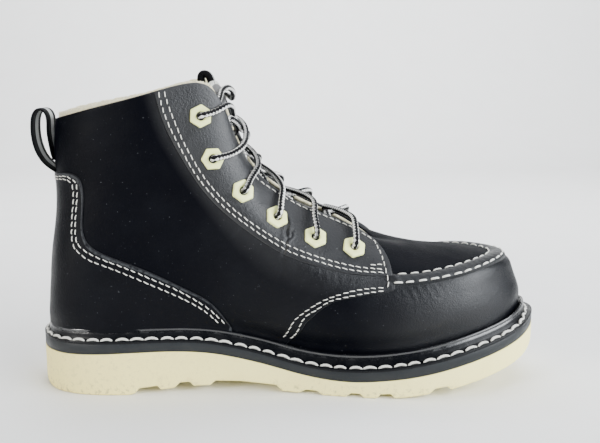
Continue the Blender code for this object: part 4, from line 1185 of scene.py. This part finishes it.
# Tongue. Columns: station and height of its side, station of the throat's edge there and its
# height, centre x, centre z
TONGUE_ROWS = (
    (9.0, 0.80, 10.0, 0.90, 217.5, 78.6), (8.75, 0.80, 9.65, 0.96, 206.0, 81.6),
    (8.4, 0.80, 9.25, 1.0, 194.5, 88.4), (8.0, 0.82, 8.55, 1.0, 185.0, 95.4),
    (7.5, 0.84, 7.95, 1.0, 174.2, 100.0), (7.0, 0.84, 7.4, 1.0, 160.2, 106.1),
    (6.5, 0.85, 6.8, 1.0, 144.8, 115.2), (6.05, 0.86, 6.3, 1.0, 130.5, 128.9),
    (5.65, 0.87, 5.8, 1.0, 119.8, 145.5), (5.3, 0.88, 5.4, 1.0, 114.4, 161.0),
    (5.0, 0.90, 5.08, 1.0, 111.2, 172.5),
)
# Its top stands free of the upper. Columns: side x, y, z, then middle x, y, z, then centre x, z
TONGUE_TOP = (
    (104.8, 25.4, 167.0, 107.6, 20.5, 176.0, 109.4, 178.0),
    (102.6, 22.6, 173.8, 105.4, 17.0, 180.6, 107.4, 183.0),
)
TONGUE_DEPTH = 3.4    # how far its face lies under the upper's
TONGUE_THICKNESS = 3.2
TONGUE_BULGE = 3.6    # how far its top leans forward on the outer side


def tongue_rows():
    rows = []
    for k_side, v_side, k_edge, v_edge, x, z in TONGUE_ROWS:
        k = np.array((k_side, (k_side + k_edge) / 2, k_edge))
        v = np.array((v_side, (v_side + v_edge) / 2, v_edge))
        on_sides = [station(k, side) for side in SIDES]
        medial, lateral = [surface(u, v) - surface_normal(u, v) * TONGUE_DEPTH for u in on_sides]
        rows.append(np.concatenate([medial, [(x, 0, z)], lateral[::-1]]))
    for sx, sy, sz, mx, my, mz, x, z in TONGUE_TOP:
        outer = np.array(((sx, sy, sz), ((sx + mx) / 2, (sy + my) / 2 + 0.8, (sz + mz) / 2), (mx, my, mz)))
        rows.append(np.concatenate([outer * (1, -1, 1), [(x, 0, z)], outer[::-1]]))
    rows = np.array(rows)
    y, z = rows[..., 1], rows[..., 2]
    rows[..., 0] += TONGUE_BULGE * (smooth_step(y / 11.0) * smooth_step((z - 158.0) / 14.0))
    return rows


TONGUE_GRID = tongue_rows()
TONGUE_UP, TONGUE_OVER = [Spline(np.linspace(0, 1, n), np.zeros(n)) for n in TONGUE_GRID.shape[:2]]


def tongue_sheet(a, b):
    """Points on the tongue's face: a runs up it, b across it from the inner side, 0 to 1."""
    a, b = np.broadcast_arrays(np.asarray(a, float), np.asarray(b, float))
    up, over = TONGUE_UP.rows(a.ravel()), TONGUE_OVER.rows(b.ravel())
    return np.einsum("ni,nj,ijc->nc", up, over, TONGUE_GRID, optimize=True).reshape(a.shape + (3,))


def tongue_normal(a, b):
    a, b = np.broadcast_arrays(np.asarray(a, float), np.asarray(b, float))
    along = tongue_sheet(np.minimum(a + 0.01, 1), b) - tongue_sheet(np.maximum(a - 0.01, 0), b)
    over = tongue_sheet(a, np.minimum(b + 0.01, 1)) - tongue_sheet(a, np.maximum(b - 0.01, 0))
    n = unit(np.cross(over, along))
    return n * np.where(n[..., :1] + n[..., 2:] < 0, -1.0, 1.0)


def build_tongue():
    a, b = np.broadcast_arrays(np.linspace(0, 1, 120)[:, None], np.linspace(0, 1, 70)[None])
    face, n = tongue_sheet(a, b), tongue_normal(a, b)
    edge = np.minimum(np.minimum(b, 1 - b) * 70.0, (1 - a) * 170.0)
    round_off = 1.4 * (1 - np.sqrt(np.clip(1 - (1 - np.clip(edge / 1.6, 0, 1)) ** 2, 0, 1)))
    puff = 0.25 * np.sin(a * 58.0 + 2 * np.sin(b * 7)) * np.exp(-((b - 0.5) / 0.3) ** 2)
    outer = face + n * (puff - round_off)[..., None]
    inner = face - n * (TONGUE_THICKNESS - round_off)[..., None]
    side = np.abs(b - 0.5) * 2
    piece("tongue_sheet", layers(outer, inner), slab_faces(*a.shape), TONGUE, "tongue_leather",
          values={"side": layers(side, side), "up": layers(a, a)}, stands_for=("tongue",))


# Webbing loops. Columns: x, z along the strip's middle
HEEL_LOOP_LINE = (
    (13.2, 128.6), (9.8, 130.9), (6.2, 134.0), (2.8, 139.0), (0.6, 145.4), (-0.2, 152.0), (0.0, 158.0),
    (1.0, 162.4), (3.4, 165.4), (6.6, 165.2), (8.7, 162.4), (9.2, 157.6), (9.1, 152.4), (9.6, 147.0),
    (10.5, 141.4), (11.6, 135.8),
)
TONGUE_LOOP_LINE = (
    (106.4, 176.0), (105.9, 179.6), (105.2, 182.6), (104.0, 185.0), (102.2, 186.4), (100.3, 186.0),
    (99.4, 184.2), (99.6, 181.6), (100.6, 179.0), (102.0, 176.0),
)


def build_webbing(name, line, width, thickness, node):
    line = evenly(line, 90)
    along = unit(np.gradient(line, axis=0))
    side = np.stack([-along[:, 1], along[:, 0]], -1)
    across = np.linspace(-1, 1, 15)
    thick = thickness / 2 * (1 - 0.55 * np.clip(np.abs(across) - 0.8, 0, 1) / 0.2)
    faces = []
    for offset in (thick, -thick):
        p = line[:, None] + side[:, None] * offset[None, :, None]
        y = np.broadcast_to(across * width / 2, p.shape[:2])
        faces.append(np.stack([p[..., 0], y, p[..., 1]], -1))
    uv = np.stack(np.broadcast_arrays((across[None] + 1) / 2, run_along(line)[:, None]), -1)
    piece(name, layers(*faces), slab_faces(len(line), len(across)), WEBBING, "webbing", uv=layers(uv, uv),
          sharp=60, stands_for=(node,))


# Eyelets: six-sided rings on the eyestay. Columns: x, z, throat station beside it, turn, centre to corner
EYELETS = (
    (101.1, 162.3, 5.40, 4.0, 6.7), (107.7, 138.5, 5.95, 28.0, 6.7), (124.2, 119.8, 6.45, 12.0, 6.9),
    (143.1, 104.0, 7.05, 14.0, 7.1), (165.6, 91.8, 7.75, 14.0, 7.2), (188.4, 85.4, 8.70, 20.0, 7.2),
)
EYELET_FLOOR = 2 * LEATHER_SHEET - 0.1
EYELET_TOP = 3.45
# From the outer edge to the bottom of the hole. Columns: share of the way in, height share
EYELET_PROFILE = ((0.0, 0.0), (0.0, 0.55), (0.05, 0.85), (0.14, 1.0), (0.5, 1.0), (0.78, 1.0), (0.92, 0.9),
                  (1.0, 0.6), (1.0, 0.0))
HOLE_RADIUS = 2.45


def eyelet_frames(side):
    """For each eyelet: u and v, its place, normal, and directions up and along the side."""
    uv = find_uv([row[:2] for row in EYELETS], side)
    places, normals = surface(uv[:, 0], uv[:, 1]), surface_normal(uv[:, 0], uv[:, 1])
    frames = []
    for (u, v), p, n in zip(uv, places, normals):
        up = np.array((0, 0, 1.0)) - n * n[2]
        up /= np.linalg.norm(up)
        frames.append((u, v, p, n, up, np.cross(up, n)))
    return frames


EYELET_FRAMES = {side: eyelet_frames(side) for side in SIDES}


def lift_at(points, u, v, origin, normal):
    """How far the leather lies above the flat through an eyelet's centre, near some points."""
    u, v = np.full(len(points), u), np.full(len(points), v)
    for _ in range(5):
        here = surface(u, v)
        a = (surface(u + 5e-4, v) - here) / 5e-4
        b = (surface(u, v + 5e-4) - here) / 5e-4
        d = points - here
        aa, ab, bb = (a * a).sum(-1), (a * b).sum(-1), (b * b).sum(-1)
        da, db = (d * a).sum(-1), (d * b).sum(-1)
        det = aa * bb - ab * ab
        u, v = u + (da * bb - db * ab) / det, v + (db * aa - da * ab) / det
    return (surface(u, v) - origin) @ normal


def build_eyelet(number, side):
    u, v, p, n, up, across = EYELET_FRAMES[side][number]
    turn, corner = math.radians(EYELETS[number][3]), EYELETS[number][4]
    mirror = 1 if side == "medial" else -1
    angle = np.linspace(0, 2 * math.pi, 96, endpoint=False)
    sector = (angle + math.pi / 6) % (math.pi / 3) - math.pi / 6
    flat = corner * math.cos(math.pi / 6) / np.cos(math.pi / 6 - np.abs(sector))
    reach = np.minimum(flat, corner * 0.975)
    direction = up * np.cos(angle + turn)[:, None] + across * (np.sin(angle + turn) * mirror)[:, None]
    bend = np.interp(angle, angle[::8], lift_at(p + direction[::8] * corner, u, v, p, n), period=2 * math.pi)
    rings = []
    for share, height in EYELET_PROFILE:
        radius = reach + (HOLE_RADIUS - reach) * share
        lift = EYELET_FLOOR + (EYELET_TOP - EYELET_FLOOR) * height + bend * (radius / corner) ** 2
        rings.append(p + direction * radius[:, None] + n * lift[:, None])
    label = "%s_%d" % (side, number + 1)
    piece("eyelet_ring_" + label, rings, ring_faces(len(rings), len(angle))[:, ::mirror], PLASTIC,
          "eyelet_plastic", sharp=35, stands_for=("eyelet_" + label,))


# Laces: out of each eyelet, over the tongue, and under the far eyestay to the next one up
LACE_RADIUS = 1.75
MOUTH = EYELET_TOP + LACE_RADIUS + 0.4    # how high a strand leaves an eyelet
OTHER = dict(zip(SIDES, SIDES[::-1]))


def hole_points(number, side):
    """Through an eyelet from the inside out."""
    p, n = EYELET_FRAMES[side][number][2:4]
    return [p - n * 3.6, p - n * 1.0, p + n * 2.4]


# Over the tongue, from beside eyelets 2 to 6 of the inner side to under the far edge
STRANDS = (
    ((116.5, -35.3, 140.8), (122.2, -30.8, 143.3), (125.6, -21.5, 146.8), (126.2, -10.0, 151.8),
     (124.6, 0.0, 155.9), (120.8, 9.0, 159.0), (116.2, 17.0, 160.2)),
    ((128.8, -33.2, 126.4), (132.3, -26.0, 131.4), (133.0, -15.5, 135.5), (130.7, -5.0, 139.0),
     (127.2, 4.0, 141.6), (122.9, 13.0, 143.4)),
    ((146.6, -32.6, 113.0), (147.6, -25.2, 119.4), (145.6, -15.0, 123.6), (141.2, -5.0, 127.2),
     (136.2, 4.0, 129.8), (132.2, 12.0, 131.0)),
    ((165.9, -31.4, 105.2), (166.0, -23.2, 111.6), (162.0, -13.0, 114.2), (156.9, -4.0, 115.2),
     (151.9, 4.0, 115.8), (147.8, 11.0, 115.8)),
    ((189.9, -29.0, 97.6), (189.6, -21.0, 101.6), (186.7, -12.0, 103.0), (182.5, -4.0, 104.0),
     (178.0, 3.0, 104.4), (174.9, 9.5, 104.2)),
)
# From over the top eyelet to the end, tucked in on the other side's edge
TOP_ENDS = {
    "medial": (
        (108.2, -35.2, 164.6), (114.2, -31.0, 167.6), (117.2, -19.0, 168.0), (118.2, -9.0, 165.6),
        (118.6, -1.0, 160.6), (120.0, 7.0, 156.0), (119.0, 17.0, 151.0), (113.6, 26.6, 145.4)),
    "lateral": (
        (104.8, 38.2, 168.2), (111.4, 33.8, 173.4), (116.0, 22.6, 171.8), (117.6, 14.0, 172.8),
        (117.4, 6.0, 176.4), (114.8, -2.0, 178.2), (112.6, -9.0, 177.0), (111.6, -16.0, 174.8),
        (110.9, -23.0, 171.0), (108.2, -29.6, 165.8)),
}


def strand(number, side):
    """From an eyelet's mouth over the tongue to the underside of the far edge."""
    p, n = EYELET_FRAMES[side][number + 1][2:4]
    arc = np.array(STRANDS[number])
    if side == "lateral":
        arc = arc * (1, -1.06, 1) - np.exp(-(arc[:, 1:2] / 8.5) ** 2) * (2.1, 0, 2.2)
    u = station(EYELETS[number][2] + 0.1, OTHER[side])
    under = surface(u, 0.97) - surface_normal(u, 0.97) * 1.2
    return [p + n * MOUTH, *arc, under]


def lace_end(side):
    """From the top eyelet over the throat's edge, then tucked down beside the tongue."""
    p, n = EYELET_FRAMES[side][0][2:4]
    return [p + n * MOUTH, *TOP_ENDS[side]]


def build_laces():
    """Two halves, each from a tucked end down to the lowest eyelets, joined by the bar inside."""
    soup, lowest = Soup(), len(EYELETS) - 1
    for side in SIDES:
        points = lace_end(side)[::-1]
        for number in range(lowest):
            points += hole_points(number, side)[::-1]
            side = OTHER[side]
            points += strand(number, side)[::-1]
        points += hole_points(lowest, side)[::-1]
        points = np.array(points + [(points[-1][0] - 1.0, 0.0, points[-1][2] + 3.0)])
        line = evenly(points, int(run_along(points)[-1] / 0.75))
        soup.add(*tube(line, LACE_RADIUS, 12))
    soup.build("laces", LACE, "lace", stands_for=["lace_crossing_%d" % k for k in range(1, len(EYELETS))])


# Floor, lights
def build_floor():
    """A floor that curves up into a wall behind."""
    half_width, back, top, bend, grey = 3.08, 1.5, 1.6, 0.35, (0.80, 0.80, 0.79)
    turn = np.linspace(0, math.pi / 2, 13)
    profile = [(-2.2, 0.0)] + [(back - bend + bend * math.sin(a), bend - bend * math.cos(a)) for a in turn]
    profile.append((back, top))
    points = [(x, y, z) for y, z in profile for x in (-half_width, half_width)]
    faces = [(2 * k, 2 * k + 1, 2 * k + 3, 2 * k + 2) for k in range(len(profile) - 1)]
    mesh = bpy.data.meshes.new("floor")
    mesh.from_pydata(points, [], faces)
    mesh.shade_smooth()
    made = Finish("studio_floor", grey, 0.75)
    cloudy = made.between(made.noise(60, detail=4), 0.3, 0.7, 0.0, 0.4)
    made.colour(made.mix(cloudy, grey, (0.76, 0.76, 0.75)))
    made.bump((made.noise(2.0, detail=3), 0.1))
    mesh.materials.append(made.material)
    floor = bpy.data.objects.new("floor", mesh)
    bpy.context.scene.collection.objects.link(floor)


def area_light(name, place, target, size, power, colour):
    data = bpy.data.lights.new(name, "AREA")
    data.shape = "RECTANGLE"
    data.size, data.size_y = size
    data.energy, data.color = power, colour
    lamp = bpy.data.objects.new(name, data)
    lamp.location = place
    dx, dy, dz = np.array(target) - np.array(place)
    lamp.rotation_euler = (math.atan2(math.hypot(dx, dy), -dz), 0.0, math.atan2(dy, dx) - math.pi / 2)
    bpy.context.scene.collection.objects.link(lamp)


def light_scene():
    world = bpy.context.scene.world or bpy.data.worlds.new("world")
    bpy.context.scene.world = world
    world.use_nodes = True
    background = world.node_tree.nodes["Background"]
    background.inputs["Color"].default_value = (0.85, 0.90, 1.0, 1)
    background.inputs["Strength"].default_value = 0.06
    area_light("window", (1.15, -0.72, 0.62), (0.05, 0.0, 0.07), (1.5, 1.0), 66.0, (0.92, 0.96, 1.0))
    area_light("top", (0.1, 0.30, 1.3), (0.0, 0.1, 0.0), (1.5, 0.8), 24.0, (0.95, 0.97, 1.0))
    area_light("wall", (0.0, 0.55, 1.1), (0.0, 1.5, 0.45), (1.6, 0.5), 28.0, (0.97, 0.98, 1.0))
    area_light("left_front", (-1.15, -0.85, 0.5), (0.0, 0.0, 0.03), (0.4, 0.4), 20.0, (1.0, 0.98, 0.94))


build_vamp()
build_lining()
build_quarters()
for side in SIDES:
    build_eyestay(side)
build_counter()
build_apron_seam()
build_seams()
build_welt()
build_welt_stitches()
build_band()
build_outsole()
build_footbed()
build_tongue()
build_webbing("heel_pull", HEEL_LOOP_LINE, 19.0, 1.6, "heel_loop")
build_webbing("tongue_pull", TONGUE_LOOP_LINE, 14.0, 4.0, "tongue_loop")
for side in SIDES:
    for number in range(len(EYELETS)):
        build_eyelet(number, side)
build_laces()
build_floor()
light_scene()

bpy.context.view_layer.update()
